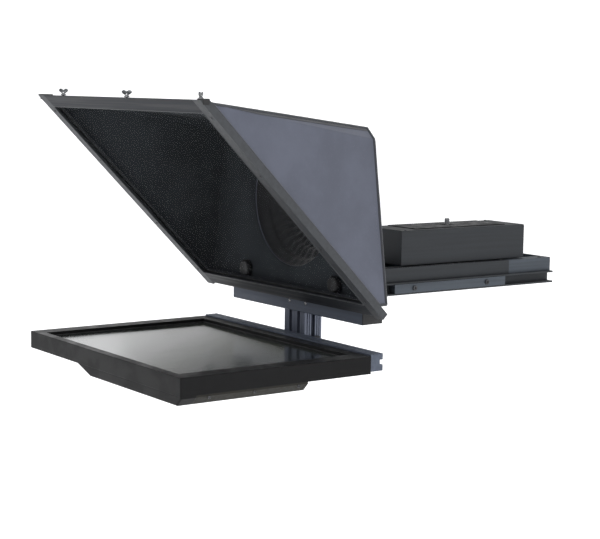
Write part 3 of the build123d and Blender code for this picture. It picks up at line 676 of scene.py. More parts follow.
@dataclass(frozen=True)
class AnodisedMetal(Finish):
    """Drawn aluminium with a satin anodised skin, rubbed at the edges."""

    lay: Lay = Lay.EVEN
    metallic: float = 0.35
    wear: float = 0.5
    dust: float = 0.06
    specular: float = 0.5

    def build(self, effects: Effects) -> bpy.types.Material:
        """The finished material."""
        material, wires, shader, place, normal = self.start()
        streaks = wires.group(effects.brushed, Vector=wires.stretch(place, self.lay.value))
        edge_mask = wires.group(effects.wear, Vector=place, Radius=0.0011)
        dust = wires.group(effects.dust, Vector=place, Normal=normal, Amount=self.dust)
        base = wires.blend(streaks.outputs["Streak"], self.rgba(0.9), self.rgba(1.12))
        edged = wires.blend(wires.math("MULTIPLY", edge_mask.outputs[0], self.wear), base, self.rgba(3.0))
        wires.join(wires.blend(dust.outputs[0], edged, (0.42, 0.42, 0.43, 1.0)), shader.inputs["Base Color"])
        rough = wires.spread(streaks.outputs["Streak"], 0.0, 1.0, self.rough - 0.05, self.rough + 0.07)
        wires.join(wires.math("ADD", rough, wires.math("MULTIPLY", dust.outputs[0], 0.3), True),
                   shader.inputs["Roughness"])
        shader.inputs["Metallic"].default_value = self.metallic
        shader.inputs["Specular IOR Level"].default_value = self.specular
        self.relief(wires, shader, streaks.outputs["Height"], 0.00004, 0.5, 0.0007)
        return material


@dataclass(frozen=True)
class MouldedPlastic(Finish):
    """Fine-grained moulded plastic with a faint mottle, and edges lightened partly as rub wear and partly as a
    painted sheen.
    """

    grain: float = 1100.0
    dust: float = 0.03
    edge_wear_and_sheen: float = 1.9
    specular: float = 0.36
    soften: float = 0.8 * MM

    def build(self, effects: Effects) -> bpy.types.Material:
        """The finished material."""
        material, wires, shader, place, normal = self.start()
        grain = wires.group(effects.grain, Vector=place, Scale=self.grain)
        edge_mask = wires.group(effects.wear, Vector=place, Radius=0.001)
        dust = wires.group(effects.dust, Vector=place, Normal=normal, Amount=self.dust)
        base = wires.blend(grain.outputs["Mottle"], self.rgba(0.86), self.rgba(1.16))
        # Edges lightened by the edge mask: partly rub wear, partly a painted sheen along the edges.
        edged = wires.blend(wires.math("MULTIPLY", edge_mask.outputs[0], 0.45), base, self.rgba(self.edge_wear_and_sheen))
        wires.join(wires.blend(dust.outputs[0], edged, (0.3, 0.3, 0.3, 1.0)), shader.inputs["Base Color"])
        rough = wires.spread(grain.outputs["Mottle"], 0.0, 1.0, self.rough - 0.06, self.rough + 0.06)
        wires.join(rough, shader.inputs["Roughness"])
        shader.inputs["Specular IOR Level"].default_value = self.specular
        self.relief(wires, shader, grain.outputs["Height"], 0.00005, 0.35, self.soften)
        return material


@dataclass(frozen=True)
class FeltCloth(Finish):
    """Napped cloth on board: blotches in the nap, flecks of lint and a fibrous surface."""

    blotch: float = 13.0
    contrast: float = 0.32
    sheen: float = 0.35
    relief_strength: float = 0.4
    specular: float = 0.2

    def build(self, effects: Effects) -> bpy.types.Material:
        """The finished material."""
        material, wires, shader, place, _ = self.start()
        nap = wires.group(effects.felt, Vector=place, Blotch=self.blotch)
        low, high = self.rgba(1.0 - self.contrast), self.rgba(1.0 + self.contrast)
        base = wires.blend(nap.outputs["Nap"], low, high)
        fleck = wires.math("MULTIPLY", nap.outputs["Fleck"], 0.35)
        wires.join(wires.blend(fleck, base, self.rgba(1.35)), shader.inputs["Base Color"])
        rough = wires.spread(nap.outputs["Nap"], 0.0, 1.0, self.rough - 0.06, self.rough + 0.04)
        wires.join(rough, shader.inputs["Roughness"])
        shader.inputs["Sheen Weight"].default_value = self.sheen
        shader.inputs["Sheen Roughness"].default_value = 0.45
        shader.inputs["Specular IOR Level"].default_value = self.specular
        self.relief(wires, shader, nap.outputs["Height"], 0.00025, self.relief_strength)
        return material


@dataclass(frozen=True)
class WovenCloth(Finish):
    """Woven tape or sleeve cloth, whose threads follow the piece's own flat coordinates."""

    pitch: float = 0.0011
    sheen: float = 0.3
    scale: Point = (1.0, 1.0, 1.0)

    def build(self, effects: Effects) -> bpy.types.Material:
        """The finished material."""
        material, wires, shader, place, _ = self.start()
        flat = wires.add("ShaderNodeUVMap", uv_map="Flat")
        cloth = wires.stretch(flat.outputs[0], self.scale)
        weave = wires.group(effects.weave, Vector=cloth, Pitch=self.pitch)
        nap = wires.group(effects.felt, Vector=place, Blotch=24.0)
        thread = wires.blend(weave.outputs["Height"], self.rgba(0.5), self.rgba(1.25))
        faded = wires.blend(wires.math("MULTIPLY", nap.outputs["Nap"], 0.3), thread, self.rgba(1.9))
        wires.join(faded, shader.inputs["Base Color"])
        rough = wires.spread(nap.outputs["Nap"], 0.0, 1.0, self.rough - 0.08, self.rough + 0.04)
        wires.join(rough, shader.inputs["Roughness"])
        shader.inputs["Sheen Weight"].default_value = self.sheen
        self.relief(wires, shader, weave.outputs["Height"], 0.0003, 0.6)
        return material


@dataclass(frozen=True)
class BareMetal(Finish):
    """Turned, plated or polished metal."""

    lay: Lay = Lay.EVEN
    stain: float = 0.3

    def build(self, effects: Effects) -> bpy.types.Material:
        """The finished material."""
        material, wires, shader, place, normal = self.start()
        streaks = wires.group(effects.brushed, Vector=wires.stretch(place, self.lay.value))
        dust = wires.group(effects.dust, Vector=place, Normal=normal, Amount=0.06)
        base = wires.blend(streaks.outputs["Streak"], self.rgba(1.0 - self.stain), self.rgba(1.05))
        wires.join(wires.blend(dust.outputs[0], base, (0.4, 0.4, 0.4, 1.0)), shader.inputs["Base Color"])
        shine = max(0.04, self.rough - 0.05)
        rough = wires.spread(streaks.outputs["Streak"], 0.0, 1.0, self.rough + 0.08, shine)
        wires.join(rough, shader.inputs["Roughness"])
        shader.inputs["Metallic"].default_value = 1.0
        self.relief(wires, shader, streaks.outputs["Height"], 0.00003, 0.4, 0.0005)
        return material


@dataclass(frozen=True)
class ScreenGlass(Finish):
    """The display's semi-gloss face, with a faint cell grid and smears that dull the gloss."""

    def build(self, effects: Effects) -> bpy.types.Material:
        """The finished material."""
        material, wires, shader, place, _ = self.start()
        grain = wires.group(effects.grain, Vector=place, Scale=2600.0)
        smear = wires.spread(wires.noise(wires.stretch(place, (1.0, 0.35, 1.0)), 9.0, 5.0, 0.6), 0.42, 0.72)
        base = wires.blend(grain.outputs["Mottle"], self.rgba(0.85), self.rgba(1.2))
        wires.join(wires.blend(wires.math("MULTIPLY", smear, 0.25), base, self.rgba(2.2)),
                   shader.inputs["Base Color"])
        wires.join(wires.spread(smear, 0.0, 1.0, self.rough, self.rough + 0.07), shader.inputs["Roughness"])
        shader.inputs["Specular IOR Level"].default_value = 0.95
        shader.inputs["Coat Weight"].default_value = 0.4
        shader.inputs["Coat Roughness"].default_value = 0.14
        self.relief(wires, shader, grain.outputs["Height"], 0.00001, 0.12)
        return material


@dataclass(frozen=True)
class SplitterGlass(Finish):
    """Half-silvered glass: nearly clear, with a faint dark film and smears."""

    alpha: float = 0.05

    def build(self, effects: Effects) -> bpy.types.Material:
        """The finished material."""
        material, wires, shader, place, _ = self.start()
        smear = wires.spread(wires.noise(place, 7.0, 6.0, 0.65), 0.4, 0.8)
        wires.join(wires.blend(smear, self.rgba(0.96), self.rgba(1.04)), shader.inputs["Base Color"])
        wires.join(wires.spread(smear, 0.0, 1.0, self.rough, self.rough + 0.05), shader.inputs["Roughness"])
        shader.inputs["Specular IOR Level"].default_value = 0.01
        shader.inputs["Alpha"].default_value = self.alpha
        return material


@dataclass(frozen=True)
class BoardResist(Finish):
    """Circuit board: solder resist with fine tracks and pale component tops."""

    def build(self, effects: Effects) -> bpy.types.Material:
        """The finished material."""
        material, wires, shader, place, _ = self.start()
        tracks = wires.add("ShaderNodeTexBrick")
        wires.join(place, tracks.inputs["Vector"])
        tracks.inputs["Scale"].default_value = 60.0
        tracks.inputs["Color1"].default_value = self.rgba(0.8)
        tracks.inputs["Color2"].default_value = self.rgba(1.3)
        tracks.inputs["Mortar"].default_value = self.rgba(2.4)
        wires.join(tracks.outputs["Color"], shader.inputs["Base Color"])
        grain = wires.group(effects.grain, Vector=place, Scale=700.0)
        self.relief(wires, shader, grain.outputs["Height"], 0.00008, 0.3, 0.0004)
        return material


class Palette:
    """Every finish of the object, built once."""

    def __init__(self, effects: Effects) -> None:
        """Build the materials.

        Args:
            effects: The shared node groups.
        """
        made = (
            AnodisedMetal("rail_black", (0.026, 0.029, 0.033), 0.46, Lay.ALONG_Y),
            AnodisedMetal("plate_grey", (0.062, 0.073, 0.088), 0.48, Lay.ALONG_Y),
            AnodisedMetal("beam_grey", (0.086, 0.101, 0.135), 0.46, Lay.ALONG_X),
            AnodisedMetal("post_grey", (0.135, 0.15, 0.195), 0.36, Lay.ALONG_Z, metallic=0.55),
            AnodisedMetal("frame_dark", (0.024, 0.026, 0.031), 0.55, Lay.ALONG_X, metallic=0.15, specular=0.22),
            AnodisedMetal("bead_light", (0.06, 0.063, 0.068), 0.42, Lay.ALONG_X),
            AnodisedMetal("housing_paint", (0.0165, 0.0155, 0.012), 0.6, metallic=0.0, specular=0.25),
            MouldedPlastic("shell_black", (0.0065, 0.0064, 0.0068), 0.42, specular=0.14, soften=1.6 * MM),
            MouldedPlastic("knob_black", (0.018, 0.018, 0.019), 0.46, grain=800.0),
            MouldedPlastic("diffuser_white", (0.7, 0.7, 0.66), 0.6),
            MouldedPlastic("pad_rubber", (0.03, 0.03, 0.031), 0.78, grain=500.0, dust=0.5),
            MouldedPlastic("tick_white", (0.6, 0.6, 0.6), 0.55, grain=1500.0),
            FeltCloth("hood_felt", (0.108, 0.116, 0.149), 0.92, blotch=9.0, contrast=0.1, sheen=0.25),
            # Lining for the hood's inner faces: a darker copy of the hood felt, partly the lining's own colour
            # and partly painted shade of the hood's inside.
            FeltCloth("hood_lining", (0.042, 0.047, 0.053), 0.95, blotch=5.0, contrast=0.2, sheen=0.04,
                      relief_strength=0.02, specular=0.06),
            WovenCloth("piping_tape", (0.03, 0.032, 0.039), 0.85, pitch=1.4 * MM, scale=(0.016, 1.0, 1.0)),
            WovenCloth("shroud_weave", (0.016, 0.016, 0.018), 0.88, pitch=1.6 * MM),
            AnodisedMetal("frame_side", (0.05, 0.053, 0.058), 0.52, metallic=0.2, specular=0.45),
            # A darker copy of the screw steel, which stands partly for painted shade on heads sunk in recesses.
            BareMetal("screw_dark", (0.09, 0.09, 0.095), 0.36),
            WovenCloth("thread_grey", (0.1, 0.107, 0.136), 0.8, pitch=0.6 * MM),
            BareMetal("screw_steel", (0.3, 0.3, 0.31), 0.3),
            BareMetal("chrome_bright", (0.5, 0.5, 0.51), 0.14, stain=0.35),
            BareMetal("chrome_dull", (0.24, 0.25, 0.255), 0.22, stain=0.5),
            ScreenGlass("screen_face", (0.011, 0.0145, 0.012), 0.2),
            SplitterGlass("splitter_coat", (0.05, 0.055, 0.06), 0.3),
            BoardResist("board_green", (0.02, 0.1, 0.045), 0.4),
        )
        self.made = {finish.name: finish.build(effects) for finish in made}

    def __getitem__(self, name: str) -> bpy.types.Material:
        """The material of a finish by its name."""
        return self.made[name]


def dress(frame: dict, nodes: Iterable[str], material: bpy.types.Material) -> None:
    """Give the frame's own parts a finish.

    Args:
        nodes: Names of the parts.
        material: Their finish.
    """
    for node in nodes:
        mesh = frame["nodes"][node].data
        mesh.materials.clear()
        mesh.materials.append(material)
        LOG.info("%s dressed in %s", node, material.name)


# ---------------------------------------------------------------- sub-assemblies
def wave(grid: Array, seed: float, size: float) -> Array:
    """Slow uneven swells over a surface, from -1 to 1.

    The swell at a point is the mean of three sines of the point's position taken along three slanting
    directions, with lengths in the ratio 1, 0.62 and 0.41 of the given size.

    Args:
        grid: Points, shape (..., 3).
        seed: Shifts the pattern.
        size: Longest wavelength in metres.

    Returns:
        The swell at each point.
    """
    turns = 2 * math.pi / size
    first = np.sin(turns * (grid @ np.array([0.8, 0.35, 0.5])) + seed)
    second = np.sin(turns / 0.62 * (grid @ np.array([-0.3, 0.9, 0.3])) + 2.1 * seed)
    third = np.sin(turns / 0.41 * (grid @ np.array([0.45, -0.2, 0.87])) + 3.7 * seed)
    return (first + second + third) / 3


def pinned(rows: int, columns: int, closed: bool = False) -> Array:
    """Share of free movement on a cloth grid: nothing at the sewn edges, one in the middle.

    It is the square root of sin(pi s), taken along the rows and, on an open grid, along the columns too.

    Args:
        rows: Rows of the grid.
        columns: Columns of the grid.
        closed: The columns go all the way round.

    Returns:
        Array of shape (rows, columns, 1).
    """
    down = np.sqrt(np.clip(np.sin(math.pi * np.linspace(0, 1, rows)), 0, 1))
    across = np.sqrt(np.clip(np.sin(math.pi * np.linspace(0, 1, columns)), 0, 1))
    return (down[:, None] * (np.ones(columns) if closed else across)[None, :])[..., None]


def between(a: Array, b: Array, share: Array) -> Array:
    """Points on the straight lines from a to b, one row for each share."""
    return a[None] + share[:, None, None] * (b - a)[None]


def along(corners: Sequence[Point], counts: Sequence[int]) -> Array:
    """Points along a line with corners: each straight run is divided into a number of even steps.

    Args:
        corners: The line's corners.
        counts: Steps in each run.

    Returns:
        The points, every corner among them.
    """
    at = np.array(corners)
    runs = [at[k] + np.linspace(0, 1, n, endpoint=False)[:, None] * (at[k + 1] - at[k])
            for k, n in enumerate(counts)]
    return np.concatenate(runs + [at[-1:]])


def spaced(corners: Sequence[Point], pitch: float) -> Array:
    """Points a pitch apart along a line with corners, measured along the line."""
    at = np.array(corners)
    gone = np.concatenate([[0.0], np.cumsum(np.linalg.norm(np.diff(at, axis=0), axis=1))])
    want = np.linspace(0, gone[-1], max(2, int(gone[-1] / pitch)))
    return np.stack([np.interp(want, gone, at[:, k]) for k in range(3)], axis=-1)


def copies(shell: Shell, offsets: Array) -> Shell:
    """The same small surface put at many places."""
    return joined([Shell(shell.points + offset, shell.quads, shell.uv, shell.caps) for offset in offsets])


def area_of(grid: Array) -> float:
    """Area of a grid of points: half the lengths of the cross products of each face's diagonals, added up."""
    diagonal = grid[1:, 1:] - grid[:-1, :-1]
    other = grid[1:, :-1] - grid[:-1, 1:]
    return float(np.linalg.norm(np.cross(diagonal, other), axis=-1).sum() / 2)


def rings(start: float, *places: tuple[float, float]) -> Array:
    """Profile points from radius and height pairs in millimetres, heights counted from a start in metres."""
    return np.array(places) * MM + [0.0, start]


def middle(node: str) -> Point:
    """Middle of the box of one of the frame's parts."""
    low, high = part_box(node)
    return ((low[0] + high[0]) / 2, (low[1] + high[1]) / 2, (low[2] + high[2]) / 2)


def mirrored(shell: Shell, signs: Point, offset: Point) -> Shell:
    """A surface mirrored in one direction and then moved, its faces still outwards."""
    caps = [cap[::-1] for cap in shell.caps]
    return Shell(shell.points * signs + offset, shell.quads[:, ::-1], shell.uv, caps)


def socket_screw(axis: Axis, origin: Point, radius: float, height: float, sides: int = 24) -> Shell:
    """A domed screw head with a sunk socket.

    The profile rises up the rim, curves in over the dome, drops into the socket at 0.45 of the radius and
    ends on its floor, which lies half the head's height down.

    Args:
        axis: Direction that the head faces.
        origin: Middle of the head's underside.
        radius: Head's radius.
        height: Head's height.
        sides: Steps round the head.

    Returns:
        The closed surface.
    """
    bend = np.linspace(0, math.pi / 2, 5)
    dome = np.stack([radius * (0.72 + 0.28 * np.cos(bend)), height * (0.55 + 0.45 * np.sin(bend))], axis=1)
    socket = np.array([[0.47, 1.0], [0.44, 0.96], [0.42, 0.5], [0.05, 0.45]]) * [radius, height]
    foot = np.array([[radius, 0.0]])
    return turned_shell(np.concatenate([foot, dome, socket]), axis, origin, sides)


@dataclass
class SubAssembly:
    """What every sub-assembly shares: the frame that it is built round and its finishes."""

    frame: dict
    palette: Palette

    def add(self, name: str, shell: Shell, body: str, slot: str, finishes: Sequence[str],
            replaces: Sequence[str] = (), smooth: float = 40.0) -> bpy.types.Object:
        """Make a piece with finishes from the palette; see piece()."""
        materials = [self.palette[finish] for finish in finishes]
        return piece(name, shell, body, materials, replaces, smooth)

    def dress(self, finish: str, *nodes: str) -> None:
        """Give the frame's own parts a finish."""
        dress(self.frame, nodes, self.palette[finish])


@dataclass
class Hood(SubAssembly):
    """Felted hood on stiff board, its piping and stitching, and the gathered sleeve round the lens."""

    thick: float = 2.4 * MM
    welt: float = 2.3 * MM
    tape: float = 7.0 * MM
    stitch_pitch: float = 6.4 * MM
    stitch_in: float = 8.0 * MM
    swell: float = 2.6 * MM
    lens_radius: float = 115 * MM
    lens_height: float = 170 * MM
    shoulder: tuple[float, float] = (198 * MM, 297 * MM)
    hip: tuple[float, float] = (217 * MM, 280 * MM)
    foot: tuple[float, float] = (257 * MM, 20 * MM)
    pleats: int = 38
    ring_fold: float = 2.4 * MM
    ring_count: float = 3.5
    sleeve_mouth: float = 63 * MM
    sleeve_end: float = -62.5 * MM
    sleeve_thick: float = 0.9 * MM
    hoop_bolt_circle: float = 119.3 * MM

    def __post_init__(self) -> None:
        """Take the hood's corners from the frame."""
        low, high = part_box("hood_top")
        self.front_y, self.front_z, self.half = low[1], high[2], high[0]
        self.rear_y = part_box("hood_rear")[1][1]
        self.drop = self.front_z - self.foot[1]

    def corner(self, side: int, name: str) -> Point:
        """A corner of the hood on one side: front top, front foot, shoulder, hip or foot."""
        places = {
            "front": (self.half, self.front_y, self.front_z),
            "toe": (self.half, self.front_y + self.drop, self.foot[1]),
            "shoulder": (self.shoulder[0], self.rear_y, self.shoulder[1]),
            "hip": (self.hip[0], self.rear_y, self.hip[1]),
            "foot": (self.foot[0], self.rear_y, self.foot[1]),
        }
        x, y, z = places[name]
        return (side * x, y, z)

    def panel(self, name: str, grid: Array, inside: Point, seed: float, node: str) -> None:
        """Make one board panel from its outer grid.

        The outer face sags inwards by the swell times the wave, pinned at its edges; the inner face is
        the same grid a board's thickness further in, along the mean normal towards the inside.

        Args:
            name: The piece's name.
            grid: Outer face, shape (rows, columns, 3).
            inside: A point in the hood.
            seed: Shifts the panel's swells.
            node: Part of the frame that the panel stands for.
        """
        rows, columns = grid.shape[:2]
        across = np.gradient(grid, axis=1)
        down = np.gradient(grid, axis=0)
        normal = np.cross(down, across)
        normal /= np.maximum(np.linalg.norm(normal, axis=-1, keepdims=True), 1e-12)
        inwards = np.array(inside) - grid.reshape(-1, 3).mean(axis=0)
        normal *= np.where((normal @ inwards)[..., None] < 0, -1.0, 1.0)
        closed = node == "hood_rear"
        sag = self.swell * (0.55 + 0.45 * wave(grid, seed, 0.34))[..., None] * pinned(rows, columns, closed)
        outer = grid + normal * sag
        inner = outer + normal * self.thick
        flat = np.stack([grid[..., 0] + grid[..., 1], grid[..., 2]], axis=-1)
        shell = sheet_shell(outer, inner, flat, closed)
        # Inner faces take the darker lining, which carries painted shade of the hood's inside.
        made = self.add(name, shell, "glass_frame", "hood_cloth", ("hood_felt", "hood_lining"), (node,), 50.0)

    @staticmethod
    def closed_area(grid: Array) -> float:
        """Area of a grid whose columns go all the way round."""
        return area_of(np.concatenate([grid, grid[:, :1]], axis=1))

    def top(self) -> None:
        """Top panel: straight lines from the front edge back to the shoulder line."""
        across = np.linspace(0, 1, 90)[:, None]
        ends = ((np.array(self.corner(-1, n)), np.array(self.corner(1, n))) for n in ("front", "shoulder"))
        front, rear = (left * (1 - across) + right * across for left, right in ends)
        grid = between(front, rear, np.linspace(0, 1, 64))
        self.panel("hood_top_panel", grid, (0, -0.2, 0.1), 0.4, "hood_top")

    def side(self, side: int, label: str) -> None:
        """Side panel: straight lines from the leaning front edge to the rear edge round shoulder and hip."""
        front = along([self.corner(side, n) for n in ("front", "front", "toe")], (8, 90))
        rear = along([self.corner(side, n) for n in ("shoulder", "hip", "foot")], (8, 90))
        front = front + np.linspace(0, 1, len(front))[:, None] * 1e-6
        grid = between(front, rear, np.linspace(0, 1, 64))
        self.panel(f"hood_{label}_side", grid, (0, -0.2, 0.15), 1.3 + side, f"hood_side_{label}")

    def rear(self) -> None:
        """Rear panel: straight lines from the round lens hole out to the six-cornered outline."""
        inset = 0.6 * MM
        near = [(1, "foot"), (1, "hip"), (1, "shoulder")]
        names = near + [(-1, name) for _, name in near[::-1]] + near[:1]
        outline = along([self.corner(side, name) for side, name in names], (44, 6, 56, 6, 44, 64))[:-1]
        centre = np.array([0.0, self.rear_y, self.lens_height])
        away = outline - centre
        away /= np.linalg.norm(away, axis=1, keepdims=True)
        hole = centre + away * self.lens_radius
        grid = between(hole, outline - away * inset, np.linspace(0, 1, 30) ** 1.2)
        self.panel("hood_rear_panel", grid, (0, -0.3, 0.17), 2.2, "hood_rear")

    def piping(self) -> None:
        """Bound edges: a tape tube along each seam, and a flat tape on the facet under the roof."""
        runs = {"front": [(-1, "front"), (1, "front")], "shoulder": [(-1, "shoulder"), (1, "shoulder")]}
        for side, label in ((-1, "left"), (1, "right")):
            runs[f"roof_{label}"] = [(side, "front"), (side, "shoulder")]
            runs[f"rear_{label}"] = [(side, "shoulder"), (side, "hip"), (side, "foot")]
            runs[f"lean_{label}"] = [(side, "front"), (side, "toe")]
            runs[f"foot_{label}"] = [(side, "toe"), (side, "foot")]
        shells = []
        for index, names in enumerate(runs.values()):
            path = spaced([self.corner(side, name) for side, name in names], 4 * MM)
            shells.append(tube_shell(path, self.welt * (1 + 0.06 * wave(path, 0.7 * index, 0.05)), 12))
        self.add("hood_piping", joined(shells), "glass_frame", "hood_cloth", ("piping_tape",))
        bands = [self.facet_band(side) for side in (-1, 1)]
        self.add("hood_facet_tape", joined(bands), "glass_frame", "hood_cloth", ("piping_tape",))

    def facet_band(self, side: int) -> Shell:
        """Binding tape on the facet beside the roof's edge: a thin strip just proud of the cloth.

        Its grid runs from the facet's front point along the roof line; across, it spans the tape's width, or
        the facet's own where that is narrower. The strip is lifted 0.3 mm along the facet's normal and is
        0.8 mm thick.
        """
        front, shoulder, hip = (np.array(self.corner(side, n)) for n in ("front", "shoulder", "hip"))
        normal = np.cross(shoulder - front, hip - front)
        normal *= np.sign(normal[0]) * side / np.linalg.norm(normal)
        share = np.linspace(0.01, 1, 70)[:, None, None]
        wide = float(np.linalg.norm(hip - shoulder))
        reach = np.minimum(share, self.tape / wide) * np.linspace(0, 1, 8)[None, :, None]
        grid = front + share * (shoulder - front) + reach * (hip - shoulder)
        outer = grid + normal * 0.3 * MM
        inner = outer - normal * 0.8 * MM
        flat = np.concatenate([np.broadcast_to(share * 0.38, reach.shape), reach * wide], axis=-1)
        return sheet_shell(outer, inner, flat)

    def stitching(self) -> None:
        """Rows of thread beside the sides' rear edges and across the roof, front and rear."""
        shells = []
        for side in (-1, 1):
            hip, foot = (np.array(self.corner(side, n)) for n in ("hip", "foot"))
            down = (foot - hip) / np.linalg.norm(foot - hip)
            back = np.array([0.0, -1.0, 0.0])
            out = np.array([side, 0.0, 0.0]) * 0.25 * MM
            gap = self.stitch_in
            aside = back * gap + out
            shells.append(self.stitches(hip + down * gap + aside, foot - down * gap + aside))
        low, high = np.array(self.corner(-1, "front")), np.array(self.corner(1, "front"))
        rear_low, rear_high = np.array(self.corner(-1, "shoulder")), np.array(self.corner(1, "shoulder"))
        share = self.stitch_in / float(np.linalg.norm(rear_low - low))
        lift = np.array([0, 0, 0.3 * MM])
        for part in (share, 1 - share):
            start, end = low + (rear_low - low) * part, high + (rear_high - high) * part
            inset = (end - start) * 0.02
            shells.append(self.stitches(start + inset + lift, end - inset + lift))
        self.add("hood_stitching", joined(shells), "glass_frame", "hood_cloth", ("thread_grey",))

    def stitches(self, start: Array, end: Array) -> Shell:
        """One row: a capsule of three rings at each pitch, 0.62 of the pitch long."""
        count = int(np.linalg.norm(end - start) / self.stitch_pitch)
        ahead = (end - start) / count
        line = np.linspace(-0.31, 0.31, 5)[:, None] * ahead
        radius = 0.42 * MM * np.array([0.35, 0.9, 1.0, 0.9, 0.35])
        one = tube_shell(line, radius, 6)
        return copies(one, start + (np.arange(count)[:, None] + 0.5) * ahead)

    def sleeve(self) -> None:
        """Gathered sleeve from the lens hole to its elastic mouth.

        At angle t and share s along the sleeve the radius falls from the hole's to the mouth's by a smooth
        step. Soft ring folds, a sine of s that dies out at both ends, run round it, and shallow pleats stand
        out by a rounded wave in t, whose phase drifts so that no two are alike. They deepen to the mouth.
        """
        angle = np.linspace(0, 2 * math.pi, 760, endpoint=False)[None, :]
        share = np.linspace(0, 1, 44)[:, None]
        step = share * share * (3 - 2 * share)
        fall = self.sleeve_mouth + 3.2 * MM - self.lens_radius
        base = self.lens_radius + 1.2 * MM + fall * (0.35 * share + 0.65 * step)
        drift = 0.5 * np.sin(3 * angle + 1.1) + 0.35 * np.sin(7 * angle + 0.4)
        fold = np.sin(self.pleats * angle + drift + 0.5 * np.sin(2 * math.pi * share + 5 * angle))
        rounded = np.sign(fold) * np.abs(fold) ** 0.8
        depth = (0.1 + 2.6 * share ** 3) * (0.75 + 0.25 * np.sin(5 * angle + 2.0)) * MM
        rings = self.ring_fold * np.sin(2 * math.pi * self.ring_count * share + 0.25 * np.sin(2 * angle))
        base = base + rings * np.sin(math.pi * share)
        tuck = 1 - 0.55 * np.exp(-((share - 0.93) / 0.03) ** 2)
        radius = (base - 3.0 * MM * np.exp(-((share - 0.93) / 0.035) ** 2)) + depth * rounded * tuck
        start, end = self.rear_y + 0.4 * MM, self.sleeve_end
        deep = start + (end - start) * share + 1.2 * MM * rounded * share * (1 - share) * 2

        def ring(r: Array) -> Array:
            """Points at a radius round the lens axis."""
            return np.stack([r * np.cos(angle), np.broadcast_to(deep, r.shape),
                             self.lens_height + r * np.sin(angle)], axis=-1)

        outer, inner = ring(radius), ring(radius - self.sleeve_thick)
        flat = np.stack(np.broadcast_arrays(angle * self.lens_radius, share * 0.09), axis=-1)
        made = self.add("lens_sleeve", sheet_shell(outer, inner, flat, True), "glass_frame", "shroud_cloth",
                        ("shroud_weave", "shroud_weave"), ("lens_shroud",), 60.0)
        t = np.linspace(0, 2 * math.pi, 240, endpoint=False)
        r = self.sleeve_mouth - 0.4 * MM + 0.35 * MM * np.sin(self.pleats * t)
        place = np.full_like(t, self.sleeve_end - 4 * MM)
        path = np.stack([r * np.cos(t), place, self.lens_height + r * np.sin(t)], axis=-1)
        self.add("sleeve_elastic", tube_shell(path, 1.6 * MM, 10, True), "glass_frame", "shroud_cloth",
                 ("piping_tape",))

    def hoop(self) -> None:
        """Clamp hoop's finish and its ring of eight screws."""
        self.dress("rail_black", "shroud_hoop")
        self.dress("screw_steel", "hood_clamp_plates")
        y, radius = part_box("shroud_hoop")[1][1], self.hoop_bolt_circle
        turns = np.arange(8) * math.pi / 4 + math.pi / 8
        heads = [socket_screw(Axis.Y, (radius * math.cos(t), y, self.lens_height + radius * math.sin(t)),
                              2.6 * MM, 1.6 * MM, 16) for t in turns]
        self.add("hoop_screws", joined(heads), "glass_frame", "steel", ("screw_steel",))

    def build(self) -> None:
        """Make the whole hood."""
        self.top()
        self.side(-1, "left")
        self.side(1, "right")
        self.rear()
        self.piping()
        self.stitching()
        self.sleeve()
        self.hoop()


@dataclass
class GlassFrame(SubAssembly):
    """Four bars, the half-silvered glass and the small fittings on them."""

    half: float = 261 * MM
    slope: float = 482 * MM
    bar: float = 27 * MM
    side_bar: float = 21 * MM
    foot_y: float = -145 * MM

    def at(self, x: float, slope: float, front: float) -> Point:
        """A point in space from across, up the slope and forwards out of the frame's face."""
        local = np.array([x, slope, front])
        x_out, y, z = Axis.FACE.place((0.0, self.foot_y, 0.0), local)
        return (float(x_out), float(y), float(z))

    def bead(self) -> None:
        """Bead round the window: a thin tube along a rounded rectangle in the frame's face."""
        x, low, high = self.half - self.side_bar, self.bar, self.slope - self.bar
        r = 2.5 * MM
        turn = np.linspace(0, math.pi / 2, 5)
        arcs = []
        inset, top, bottom = x - r, high - r, low + r
        for k, (cx, cy) in enumerate(((inset, top), (-inset, top), (-inset, bottom), (inset, bottom))):
            bend = turn + k * math.pi / 2
            depth = np.full_like(bend, -0.2 * MM)
            arcs.append(np.stack([cx + r * np.cos(bend), cy + r * np.sin(bend), depth], axis=1))
        path = Axis.FACE.place((0.0, self.foot_y, 0.0), np.concatenate(arcs))
        self.add("window_bead", tube_shell(path, 1.0 * MM, 8, True), "glass_frame", "dark_anodised",
                 ("bead_light",))

    def corner_caps(self) -> None:
        """Thin moulded caps on the level top of each corner, turned down at the outer side."""
        low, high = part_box("side_bar_right")
        top, front, back = high[2], low[1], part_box("top_bar")[1][2] - high[2] + low[1] + 16.5 * MM
        shells = []
        for side in (-1, 1):
            outer = side * (self.half + 1.4 * MM)
            lid = sorted((side * (self.half - (24 * MM if side < 0 else 9.5 * MM)), outer))
            shells.append(block_shell((lid[0], front + 1.0 * MM, top),
                                      (lid[1], back, top + 1.8 * MM), 0.8 * MM))
            flap = sorted((side * self.half, outer))
            shells.append(block_shell((flap[0], front + 5.0 * MM, top - 7 * MM),
                                      (flap[1], back, top + 1.4 * MM), 0.6 * MM))
        self.add("corner_caps", joined(shells), "glass_frame", "black_knob", ("knob_black",))

    def screws(self) -> None:
        """Screw heads in the side bars' faces, four in each."""
        places = [(side * (self.half - 10.5 * MM), s) for side in (-1, 1)
                  for s in (36 * MM, 160 * MM, 322 * MM, self.slope - 38 * MM)]
        heads = [socket_screw(Axis.FACE, self.at(x, s, 0.0), 2.4 * MM, 0.9 * MM, 16) for x, s in places]
        self.add("frame_screws", joined(heads), "glass_frame", "steel", ("screw_dark",))

    def build(self) -> None:
        """Dress the bars and glass, and add the fittings."""
        self.dress("frame_dark", "bottom_bar", "top_bar")
        self.dress("frame_side", "side_bar_left", "side_bar_right")
        self.dress("splitter_coat", "beam_splitter_glass")
        self.dress("pad_rubber", "glass_gasket")
        self.dress("screw_steel", "corner_plates")
        self.bead()
        self.corner_caps()
        self.screws()


